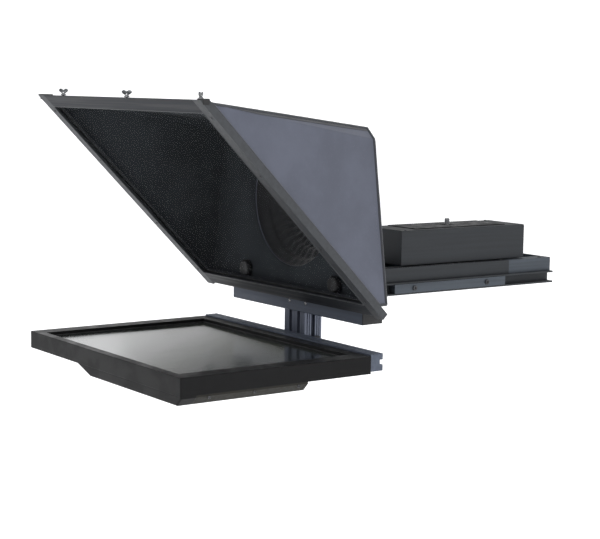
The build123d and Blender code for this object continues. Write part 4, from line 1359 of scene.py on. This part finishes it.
def lobes(count: int, depth: float) -> Callable[[Array, Array], Array]:
    """Rim of a hand knob: the radius is least at count evenly spaced finger hollows.

    The scale at angle t is 1 less the depth times the cube of (1 + cos(count t)) / 2, so the hollows are
    narrow and the lobes between them broad; it fades at both ends of the profile.
    """
    def scale(angle: Array, share: Array) -> Array:
        """Scale of the radius."""
        hollow = ((1 + np.cos(count * angle)) / 2) ** 3
        fade = np.clip(np.sin(math.pi * np.clip(share, 0, 1)) * 3, 0.35, 1)
        return 1 - depth * hollow * fade
    return scale


def knurl(count: int, depth: float) -> Callable[[Array, Array], Array]:
    """Rim of straight knurling: a sine of count ridges, faded at both ends of the profile."""
    def scale(angle: Array, share: Array) -> Array:
        """Scale of the radius."""
        fade = np.clip(np.sin(math.pi * np.clip(share, 0, 1)) * 4, 0, 1)
        return 1 - depth * (0.5 + 0.5 * np.sin(count * angle)) * fade
    return scale


def thread_profile(radius: float, start: float, end: float, pitch: float, depth: float) -> Array:
    """Profile of a screw's thread seen as rings: the radius drops by the depth once in each pitch."""
    count = max(1, round(abs(end - start) / pitch))
    height = np.linspace(start, end, 4 * count + 1)
    drop = np.tile([0.0, 0.5, 1.0, 0.5], count + 1)[:len(height)] * depth
    drop[0] = drop[-1] = depth
    return np.stack([radius - drop, height], axis=1)


@dataclass
class Monitor(SubAssembly):
    """Face-up monitor: case, screen, electronics tray, its sockets and buttons, and the rail behind it."""

    button_dome: float = 0.5 * MM
    button_radius: float = 4.0 * MM
    lamp_x: float = 147 * MM
    vent_slots: int = 11

    def screen(self) -> None:
        """Dark gasket round the screen, a tube along a rectangle on the display's face."""
        low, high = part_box("bezel")
        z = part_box("display_panel")[1][2] + 0.5 * MM
        x, front, back = high[0] - 31.6 * MM, low[1] + 15.6 * MM, high[1] - 23.1 * MM
        corners = [(-x, front, z), (x, front, z), (x, back, z), (-x, back, z), (-x, front, z)]
        gasket = tube_shell(along(corners, (60, 44, 60, 44))[:-1], 0.9 * MM, 6, True)
        self.add("screen_gasket", gasket, "monitor", "rubber", ("pad_rubber",))

    def cover_screws(self) -> None:
        """Screws that hold the back cover, heads down, except where the tray covers it."""
        low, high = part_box("back_cover")
        places = [(x, y) for x in (low[0] + 12 * MM, -110 * MM, 0.0, high[0] - 12 * MM)
                  for y in (low[1] + 14 * MM, high[1] - 14 * MM) if not (x > -0.08 and y < -0.28)]
        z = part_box("bezel")[0][2]
        heads = [socket_screw(Axis.Z, (x, y, z - 1.3 * MM), 3.0 * MM, 1.6 * MM, 16) for x, y in places]
        turned_down = [mirrored(head, (1, 1, -1), (0, 0, 2 * z - 1.0 * MM)) for head in heads]
        self.add("cover_screws", joined(turned_down), "monitor", "steel", ("screw_dark",))

    def louvres(self) -> None:
        """Raised louvre bars, feet and side screws on the tray."""
        low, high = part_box("electronics_housing")
        bars = []
        for k in range(self.vent_slots):
            x = low[0] + 70 * MM + k * 9 * MM
            bars.append(block_shell((x, high[1] - 86 * MM, low[2] - 1.1 * MM),
                                    (x + 4.2 * MM, high[1] - 26 * MM, low[2] + 0.6 * MM), 0.8 * MM, steps=2))
        self.add("tray_louvres", joined(bars), "monitor", "housing_shell", ("housing_paint",))
        feet = [turned_shell(round_profile(7 * MM, 2.2 * MM, 1.0 * MM), Axis.Z, (x, y, low[2] - 2.0 * MM), 28)
                for x in (low[0] + 62 * MM, high[0] - 26 * MM) for y in (low[1] + 18 * MM, high[1] - 14 * MM)]
        self.add("tray_feet", joined(feet), "monitor", "rubber", ("pad_rubber",))
        bolts = [socket_screw(Axis.X, (high[0] - 0.2 * MM, y, high[2] - 5 * MM), 2.5 * MM, 1.5 * MM, 16)
                 for y in np.linspace(low[1] + 22 * MM, high[1] - 18 * MM, 3)]
        self.add("tray_screws", joined(bolts), "monitor", "steel", ("screw_dark",))

    def buttons(self) -> None:
        """Domed push buttons, each on its flange, and a pilot lamp beside the power button."""
        for name in ("menu_button", "down_button", "up_button", "power_button"):
            (_, _, bottom), (_, _, top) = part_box(name)
            x, y, _ = middle(name)
            bend = np.linspace(0, math.pi / 2, 6)
            dome = self.button_dome * (1 - np.cos(bend))
            cap = np.stack([self.button_radius * np.sin(bend) * 0.99 + 0.02 * MM, bottom + dome], axis=1)
            flange = rings(bottom, (4.0, 4.0), (5.2, 4.05))
            profile = np.concatenate([cap, flange, rings(top, (5.2, 0.0))])
            self.add(name + "_cap", turned_shell(profile, Axis.Z, (x, y, 0.0), 40), name,
                     "black_knob", ("knob_black",), (name,), 35.0)
        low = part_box("control_bar")[0]
        place = (self.lamp_x, low[1] + 13 * MM, low[2] - 0.9 * MM)
        lamp = turned_shell(round_profile(1.6 * MM, 2.4 * MM, 0.8 * MM), Axis.Z, place, 24)
        self.add("pilot_lamp", lamp, "monitor", "diffuser", ("diffuser_white",))

    def sockets(self) -> None:
        """Centre pin of the power inlet and bayonet lugs of the video socket."""
        x, _, z = middle("dc_socket")
        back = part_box("electronics_housing")[1][1]
        pin = turned_shell(round_profile(1.0 * MM, 8 * MM, 0.5 * MM), Axis.Y, (x, back - 9.8 * MM, z), 16)
        self.add("inlet_pin", pin, "monitor", "steel", ("screw_steel",))
        x, _, z = middle("bnc_socket")
        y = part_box("bnc_socket")[1][1] - 4 * MM
        lug = round_profile(1.0 * MM, 1.6 * MM, 0.4 * MM)
        lugs = [turned_shell(lug, Axis.Z, (x, y, z + rise), 14) for rise in (4.2 * MM, -5.8 * MM)]
        self.add("video_lugs", joined(lugs), "monitor", "chrome", ("chrome_bright",))

    def build(self) -> None:
        """Dress the monitor and add its small parts."""
        self.dress("shell_black", "bezel", "back_cover", "control_bar")
        self.dress("screen_face", "display_panel")
        self.dress("diffuser_white", "backlight")
        self.dress("housing_paint", "electronics_housing")
        self.dress("board_green", "driver_board", "power_board")
        self.dress("knob_black", "dc_socket")
        self.dress("chrome_bright", "bnc_socket")
        self.dress("beam_grey", "rear_rail")
        self.dress("rail_black", "carriage")
        self.dress("screw_steel", "carriage_bolts")
        self.screen()
        self.cover_screws()
        self.louvres()
        self.buttons()
        self.sockets()


@dataclass
class RailBase(SubAssembly):
    """Rails, side plates, camera platform, cross beam and post."""

    tick_pitch: float = 5 * MM
    tick_count: int = 52

    def beam_caps(self) -> None:
        """Moulded caps on the cross beam's ends."""
        low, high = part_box("front_beam")
        inset, thick = 0.5 * MM, 1.8 * MM
        shells = [block_shell((x, low[1] + inset, low[2] + inset),
                              (x + thick, high[1] - inset, high[2] - inset), 0.8 * MM)
                  for x in (low[0] - thick, high[0])]
        self.add("beam_end_caps", joined(shells), "base", "black_knob", ("knob_black",))

    def post_cap(self) -> None:
        """Moulded cap under the post."""
        low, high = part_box("post")
        cap = block_shell((low[0] + 0.4 * MM, low[1] + 0.4 * MM, low[2] - 2.2 * MM),
                          (high[0] - 0.4 * MM, high[1] - 0.4 * MM, low[2]), 1.0 * MM)
        self.add("post_end_cap", cap, "base", "black_knob", ("knob_black",))

    def scale(self) -> None:
        """Graduations on the platform: short lines, longer at each fifth and longest at each tenth."""
        low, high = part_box("platform_front")
        x, start, top, half = high[0] - 8 * MM, low[1] + 40 * MM, high[2], 0.22 * MM
        shells = []
        for k in range(self.tick_count):
            y = start + k * self.tick_pitch
            length = 5.5 * MM if k % 10 == 0 else (4.0 * MM if k % 5 == 0 else 2.6 * MM)
            shells.append(block_shell((x, y - half, top - 0.08 * MM), (x + length, y + half, top + 0.12 * MM),
                                      0.05 * MM, steps=1))
        self.add("slide_scale", joined(shells), "base", "diffuser", ("tick_white",))

    def bolt_highlights(self) -> None:
        """Bright chrome domes in the middles of the two bolts sunk in the beam's face, a painted highlight on
        their socket heads.
        """
        low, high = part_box("beam_bolts")
        y, z, radius = low[1], (low[2] + high[2]) / 2, (high[2] - low[2]) / 2
        heads = []
        for x in (low[0] + radius, high[0] - radius):
            dome = socket_screw(Axis.Y, (0.0, 0.0, 0.0), 2.9 * MM, 1.5 * MM, 30)
            heads.append(mirrored(dome, (1, -1, 1), (x, y + 0.6 * MM, z - 0.6 * MM)))
        self.add("beam_bolt_faces", joined(heads), "base", "steel", ("chrome_bright",))

    def build(self) -> None:
        """Dress the base and add its trim."""
        self.dress("rail_black", "rail_left", "rail_right", "tripod_plate", "rear_cross_bar",
                   "platform_front")
        self.dress("plate_grey", "side_plate_left", "side_plate_right", "platform_rear")
        self.dress("beam_grey", "front_beam")
        self.dress("post_grey", "post")
        self.dress("frame_dark", "hinge_yokes")
        # The dark screw finish on these bolts is partly painted shade of the heads in their recesses.
        self.dress("screw_dark", "side_plate_bolts", "platform_screws", "beam_bolts")
        self.dress("screw_steel", "tripod_bush", "hinge_pins")
        self.beam_caps()
        self.post_cap()
        self.scale()
        self.bolt_highlights()


@dataclass
class CameraSupport(SubAssembly):
    """Slide plate, riser, ribbed pad and the camera screw."""

    rib_pitch: float = 5 * MM
    opening: float = 9 * MM
    thread_pitch: float = 25.4 * MM / 16

    def pad(self) -> None:
        """Ribbed rubber pad: rounded bars joined by two edge strips, open round the camera screw."""
        low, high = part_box("camera_pad")
        count = int((high[1] - low[1]) / self.rib_pitch)
        centre = middle("camera_screw")[1]
        shells = []
        for k in range(count):
            y = low[1] + k * self.rib_pitch
            spans = [(low[0], high[0])]
            if abs(y + self.rib_pitch / 2 - centre) < self.opening + 2 * MM:
                spans = [(low[0], -self.opening), (self.opening, high[0])]
            shells += [block_shell((x0, y + 0.4 * MM, low[2]), (x1, y + self.rib_pitch - 0.4 * MM, high[2]),
                                   0.8 * MM, steps=2) for x0, x1 in spans]
        for x0, x1 in ((low[0], low[0] + 3 * MM), (high[0] - 3 * MM, high[0])):
            shells.append(block_shell((x0, low[1], low[2]), (x1, high[1], high[2] - 0.3 * MM), 0.5 * MM,
                                      steps=2))
        self.add("camera_pad_ribbed", joined(shells), "camera_slide", "rubber", ("pad_rubber",),
                 ("camera_pad",))

    def screw(self) -> None:
        """Camera screw: knurled head under the riser's deck, neck and threaded end."""
        low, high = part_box("camera_screw")
        x, y, _ = middle("camera_screw")
        grip = round_profile(13.6 * MM, 9.4 * MM, 1.0 * MM, low[2] + 0.1 * MM, 4)
        head = turned_shell(grip, Axis.Z, (x, y, 0.0), 96, knurl(32, 0.05))
        neck, tip = rings(low[2], (4.3, 9.0), (4.3, 17.5)), rings(high[2], (4.1, -0.7), (3.4, 0.0))
        start, end = low[2] + 17.6 * MM, high[2] - 1.0 * MM
        thread = thread_profile(4.75 * MM, start, end, self.thread_pitch, 0.55 * MM)
        shank = turned_shell(np.concatenate([neck, thread, tip]), Axis.Z, (x, y, 0.0), 40)
        self.add("camera_screw_knurled", joined([head, shank]), "camera_screw", "steel", ("screw_steel",),
                 ("camera_screw",), 32.0)

    def fixings(self) -> None:
        """Screws through the riser's deck into its walls."""
        low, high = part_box("riser")
        heads = [socket_screw(Axis.Z, (x, y, high[2] - 0.2 * MM), 2.4 * MM, 1.3 * MM, 16)
                 for x in (low[0] + 5 * MM, high[0] - 5 * MM) for y in (low[1] + 12 * MM, high[1] - 12 * MM)]
        self.add("riser_screws", joined(heads), "camera_slide", "steel", ("screw_dark",))

    def build(self) -> None:
        """Dress the support and add its pad and screws."""
        self.dress("plate_grey", "slide_plate")
        self.dress("rail_black", "riser")
        self.pad()
        self.screw()
        self.fixings()


@dataclass
class HandScrews(SubAssembly):
    """Everything that is turned or pulled by hand to clamp the parts."""

    pitch: float = 1.0 * MM
    grip_start: float = 31.9 * MM
    lever_pivot: tuple[float, float] = (150 * MM, 34.5 * MM)
    wing_turns: dict[str, float] = field(default_factory=lambda: {
        "thumb_screw_left": 35.0, "thumb_screw_middle": 80.0, "thumb_screw_right": 125.0})

    def hood_knobs(self) -> None:
        """Round lobed knobs in the hood, each on its shank."""
        for node in ("hood_knob_left", "hood_knob_right"):
            low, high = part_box(node)
            x, _, z = middle(node)
            start = low[1]
            bend = np.linspace(0, math.pi / 2, 7)
            radius, rise = 14.9 * MM - 3.2 * MM * (1 - np.sin(bend)), 3.0 * MM * (1 - np.cos(bend))
            face = np.stack([radius, start + rise], axis=1)
            dish = rings(start, (6.0, 0.9), (8.5, 0.2))
            body = rings(start, (14.9, 7.4), (14.0, 9.2), (5.5, 9.4))
            grip = turned_shell(np.concatenate([dish, face, body]), Axis.Y, (x, 0.0, z), 144, lobes(8, 0.09))
            self.add(f"{node}_grip", grip, node, "black_knob", ("knob_black",), (node,), 35.0)
            self.stud(node, start + 9.3 * MM, high[1] - 0.3 * MM, Axis.Y, (x, 0.0, z))

    def stud(self, node: str, start: float, end: float, axis: Axis, origin: Point) -> None:
        """Threaded stud of a hand knob, between two places along its axis."""
        thread = thread_profile(2.95 * MM, start, end, self.pitch, 0.35 * MM)
        self.add(f"{node}_stud", turned_shell(thread, axis, origin, 28), node, "steel", ("screw_steel",), (),
                 32.0)

    def tilt_knob(self) -> None:
        """Knurled nut on the near hinge pin: a ring with straight knurling and a recessed end."""
        low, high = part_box("tilt_knob")
        _, y, z = middle("tilt_knob")
        inner = rings(low[0], (3.3, 0.05), (7.0, 0.05), (8.2, 1.2), (8.35, 2.4), (8.35, 5.5), (8.35, 9.0))
        end = rings(high[0], (8.35, -2.4), (8.2, -1.0), (7.2, 0.0), (5.4, 0.0), (5.1, -1.4), (0.3, -1.5))
        knob = turned_shell(np.concatenate([inner, end]), Axis.X, (0.0, y, z), 120, knurl(30, 0.06))
        self.add("tilt_knob_knurled", knob, "tilt_knob", "black_knob", ("knob_black",), ("tilt_knob",), 32.0)

    def carriage_knob(self) -> None:
        """Six-lobed clamp knob on the carriage, with its stud."""
        low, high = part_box("carriage_knob")
        _, y, z = middle("carriage_knob")
        start = self.grip_start
        inner = rings(start, (6.0, 0.0), (12.2, 0.2), (13.8, 1.6), (13.9, 4.0), (13.9, 8.0))
        end = rings(high[0], (13.9, -3.0), (13.2, -1.2), (11.4, -0.2), (7.0, 0.0), (6.4, -0.8), (0.4, -0.9))
        grip = turned_shell(np.concatenate([inner, end]), Axis.X, (0.0, y, z), 132, lobes(6, 0.15))
        self.add("carriage_knob_grip", grip, "carriage_knob", "black_knob", ("knob_black",),
                 ("carriage_knob",), 35.0)
        self.stud("carriage_knob", low[0] + 0.2 * MM, start + 0.3 * MM, Axis.X, (0.0, y, z))

    def thumb_screws(self) -> None:
        """Plated wing screws on the frame's level top: stud, waisted collar and a wing with two ears.

        The wing is a closed ring of points carried up its height: at share s of the height the half width
        opens from the collar's by a smooth step and closes in a quarter circle at the top; the half thickness
        is least in the middle of the width and the top edge dips between the ears.
        """
        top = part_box("top_bar")[1][2]
        for node, turn in self.wing_turns.items():
            x, y, _ = middle(node)
            centre = (x, y, top)
            stud = thread_profile(1.95 * MM, -7.8 * MM, 0.4 * MM, self.pitch * 0.7, 0.25 * MM)
            collar = rings(0.0, (4.1, 0.4), (4.3, 0.8), (4.3, 2.0), (3.6, 2.9), (2.6, 4.2), (1.9, 6.0))
            core = turned_shell(np.concatenate([stud, collar]), Axis.Z, centre, 32)
            wing = self.wing(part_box(node)[1][2] - top)
            cosine, sine = math.cos(math.radians(turn)), math.sin(math.radians(turn))
            spin = np.array([[cosine, sine, 0], [-sine, cosine, 0], [0, 0, 1]])
            wing.points = wing.points @ spin + np.array(centre)
            wing.slots = np.ones(len(wing.quads), dtype=np.int64)
            self.add(node + "_wing", joined([core, wing]), node, "chrome", ("chrome_bright", "chrome_dull"),
                     (node,), 35.0)

    def wing(self, height: float) -> Shell:
        """The wing of a thumb screw, standing over the origin and spread along X."""
        rows, sides = 17, 56
        t = np.linspace(0, 2 * math.pi, sides, endpoint=False)[None, :]
        s = np.linspace(0, 1, rows)[:, None]
        open_out = np.clip((s - 0.05) / 0.5, 0, 1)
        open_out = open_out * open_out * (3 - 2 * open_out)
        close = np.sqrt(np.clip(1 - (np.clip(s - 0.66, 0, 1) / 0.36) ** 2, 0.04, 1))
        width = (2.6 + 5.8 * open_out) * MM * close
        x = width * np.cos(t)
        thick = (1.0 + 0.5 * np.abs(x) / (8 * MM)) * MM * np.where(s > 0.92, 0.6, 1.0)
        dip = -3.4 * MM * np.exp(-(x / (2.6 * MM)) ** 2) * s ** 3
        z = (2.4 * MM + (height - 2.5 * MM) * s) + dip
        local = np.stack(np.broadcast_arrays(x, thick * np.sin(t), z), axis=-1)
        flat = np.stack(np.broadcast_arrays(t, s), axis=-1).reshape(-1, 2)
        points = local.reshape(-1, 3)
        made = outward(Shell(points, grid_quads(rows, sides, wrap_columns=True), flat))
        last = (rows - 1) * sides
        up = np.array([0.0, 0.0, 1.0])
        ends = (list(range(sides)), list(range(last, last + sides)))
        made.caps = [facing(points, ends[0], -up), facing(points, ends[1], up)]
        return made

    def lever(self) -> None:
        """Slide lock lever: a hub and shank with a slightly bowed arm that swells to a rounded end."""
        low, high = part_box("slide_lever")
        y0, z0 = self.lever_pivot
        hub = turned_shell(round_profile(6.0 * MM, 9.6 * MM, 0.9 * MM, low[0]), Axis.X, (0.0, y0, z0), 40)
        profile = np.concatenate([rings(low[0], (3.9, 9.0)), rings(high[0], (3.9, -0.6), (3.3, 0.0))])
        shank = turned_shell(profile, Axis.X, (0.0, y0, z0), 28)
        s = np.linspace(0, 1, 26)
        across = low[0] + 3.4 * MM + 0.6 * MM * np.sin(math.pi * s)
        path = np.stack([across, y0 + 2 * MM + 39.4 * MM * s, np.full_like(s, z0)], axis=1)
        radius = (3.2 + 1.0 * s ** 3 - 2.6 * np.clip((s - 0.93) / 0.07, 0, 1) ** 2) * MM
        arm = tube_shell(path, radius, 24, flatten=0.86)
        self.add("slide_lever_arm", joined([hub, shank, arm]), "slide_lever", "black_knob", ("knob_black",),
                 ("slide_lever",))

    def build(self) -> None:
        """Make every hand screw, knob and lever."""
        self.hood_knobs()
        self.tilt_knob()
        self.carriage_knob()
        self.thumb_screws()
        self.lever()


@dataclass
class Studio:
    """Pale floor and backdrop, soft lights and the camera."""

    floor: float = -0.47
    place: Point = (2.122, -1.638, 0.363)
    azimuth: float = 54.394
    elevation: float = 6.886
    roll: float = 0.853
    lens: float = 91.31
    world_strength: float = 0.5
    backdrop_glow: float = 0.5
    card_distance: float = 6.0

    def view_axes(self) -> tuple[Array, Array]:
        """Level directions along the view and to its right."""
        a = math.radians(self.azimuth)
        return np.array([-math.sin(a), math.cos(a), 0]), np.array([math.cos(a), math.sin(a), 0])

    @staticmethod
    def prop(name: str, paint: str, points: Array, faces: list[list[int]], mottle: float,
             tones: tuple[Color, Color], rough: float) -> tuple[bpy.types.Object, bpy.types.Node]:
        """A surface of the stage in two mottled tones.

        Args:
            name: The object's name.
            paint: Its material's name.
            points: Its corners, shape (n, 3).
            faces: Corner numbers of each face.
            mottle: Scale of the mottle.
            tones: The two colours.
            rough: Roughness.

        Returns:
            The object and its shader node.
        """
        mesh = bpy.data.meshes.new(name)
        mesh.from_pydata(points.tolist(), [], faces)
        made = bpy.data.objects.new(name, mesh)
        bpy.context.scene.collection.objects.link(made)
        material = bpy.data.materials.new(paint)
        material.use_nodes = True
        wires = Wires(material.node_tree)
        shader = next(n for n in material.node_tree.nodes if n.type == "BSDF_PRINCIPLED")
        place = wires.add("ShaderNodeTexCoord").outputs["Object"]
        low, high = ((*tone, 1.0) for tone in tones)
        wires.join(wires.blend(wires.noise(place, mottle), low, high), shader.inputs["Base Color"])
        shader.inputs["Roughness"].default_value = rough
        mesh.materials.append(material)
        return made, shader

    def backdrop(self) -> None:
        """Floor that curves up into a wall, a quarter circle between the flat and the upright."""
        reach, bend, tall, half, count = 5.0, 1.2, 4.5, 9.0, 24
        turn = np.linspace(0, math.pi / 2, count)
        run = np.concatenate([[-half, reach - bend], reach - bend + bend * np.sin(turn[1:]), [reach]])
        rise = np.concatenate([[0.0, 0.0], bend * (1 - np.cos(turn[1:])), [tall]]) + self.floor
        across = np.linspace(-half, half, count)
        ahead, side = self.view_axes()
        line = run[:, None, None] * ahead + rise[:, None, None] * np.array([0.0, 0.0, 1.0])
        points = (line + across[None, :, None] * side).reshape(-1, 3)
        faces = grid_quads(len(run), count).tolist()
        made, shader = self.prop("backdrop", "backdrop_paint", points, faces, 2.0,
                                 ((0.9, 0.9, 0.9), (0.94, 0.94, 0.94)), 0.8)
        made.data.polygons.foreach_set("use_smooth", np.ones(len(made.data.polygons), dtype=bool))
        shader.inputs["Emission Color"].default_value = (1.0, 1.0, 1.0, 1.0)
        shader.inputs["Emission Strength"].default_value = self.backdrop_glow

    def card(self) -> None:
        """Dark card behind the object, seen by reflections alone, which darkens half of the screen's gloss.

        Its corners are given as distances right of the view line and above the origin; its lower left
        corner is cut off on a slant.
        """
        ahead, side = self.view_axes()
        start = np.array([self.place[0], self.place[1], 0.0]) + ahead * self.card_distance
        corners = np.array([(-0.1, 0.36), (-0.7, 0.64), (-0.95, 2.4), (2.0, 2.4), (2.0, 0.2), (0.3, 0.2)])
        points = start + corners[:, :1] * side + corners[:, 1:] * np.array([0.0, 0.0, 1.0])
        made, _ = self.prop("dark_card", "card_velvet", points, [list(range(len(points)))], 1.5,
                            ((0.015, 0.015, 0.013), (0.05, 0.055, 0.035)), 0.95)
        made.visible_camera = False
        made.visible_diffuse = False
        made.visible_shadow = False
        made.visible_transmission = False

    def light(self, name: str, place: Point, aim: Point, size: tuple[float, float], power: float) -> None:
        """A soft rectangular light aimed at a point."""
        data = bpy.data.lights.new(name, "AREA")
        data.shape = "RECTANGLE"
        data.size, data.size_y = size
        data.energy = power
        made = bpy.data.objects.new(name, data)
        bpy.context.scene.collection.objects.link(made)
        back = np.array(place) - np.array(aim)
        back /= np.linalg.norm(back)
        side = np.cross([0.0, 0.0, 1.0], back)
        side /= np.linalg.norm(side)
        made.matrix_world = self.pose(place, side, np.cross(back, side), back)

    @staticmethod
    def pose(place: Point, right: Array, up: Array, back: Array) -> Matrix:
        """Matrix of an object from its place and its three directions."""
        columns = np.stack([right, up, back, np.array(place)], axis=1)
        return Matrix(np.vstack([columns, [0, 0, 0, 1]]).tolist())

    def camera(self) -> None:
        """Camera at its azimuth and elevation, turned a little about its own view."""
        a, e, r = (math.radians(v) for v in (self.azimuth, self.elevation, self.roll))
        back = np.array([math.sin(a) * math.cos(e), -math.cos(a) * math.cos(e), math.sin(e)])
        right = np.array([math.cos(a), math.sin(a), 0.0])
        up = np.cross(back, right)
        right, up = math.cos(r) * right + math.sin(r) * up, math.cos(r) * up - math.sin(r) * right
        data = bpy.data.cameras.new("camera")
        data.lens, data.sensor_width = self.lens, 36.0
        data.clip_start, data.clip_end = 0.05, 60.0
        made = bpy.data.objects.new("camera", data)
        bpy.context.scene.collection.objects.link(made)
        made.matrix_world = self.pose(self.place, right, up, back)
        bpy.context.scene.camera = made

    def sky(self) -> None:
        """Even near-white surroundings, shown without any tone curve."""
        world = bpy.data.worlds.new("surroundings")
        bpy.context.scene.world = world
        world.use_nodes = True
        background = next(n for n in world.node_tree.nodes if n.type == "BACKGROUND")
        background.inputs["Color"].default_value = (0.95, 0.97, 1.0, 1.0)
        background.inputs["Strength"].default_value = self.world_strength
        bpy.context.scene.view_settings.view_transform = "Standard"
        bpy.context.scene.view_settings.look = "None"

    def build(self) -> None:
        """Set the stage."""
        self.backdrop()
        self.card()
        self.sky()
        self.light("key", (1.2, -2.6, 2.6), (0, -0.2, 0.1), (2.2, 1.6), 42)
        self.light("fill", (2.6, 0.6, 1.4), (0, 0, 0.1), (1.6, 1.6), 22)
        self.light("rim", (-1.6, 1.8, 2.4), (0, 0, 0.1), (2.0, 1.4), 22)
        self.camera()


def main() -> None:
    """Build every sub-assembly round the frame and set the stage."""
    logging.basicConfig(level=logging.INFO, format="%(levelname)s %(message)s")
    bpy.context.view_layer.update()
    palette = Palette(Effects())
    for kind in (RailBase, CameraSupport, GlassFrame, Hood, Monitor, HandScrews):
        kind(frame, palette).build()
        LOG.info("%s done", kind.__name__)
    Studio().build()


if __name__ == "__main__":
    main()
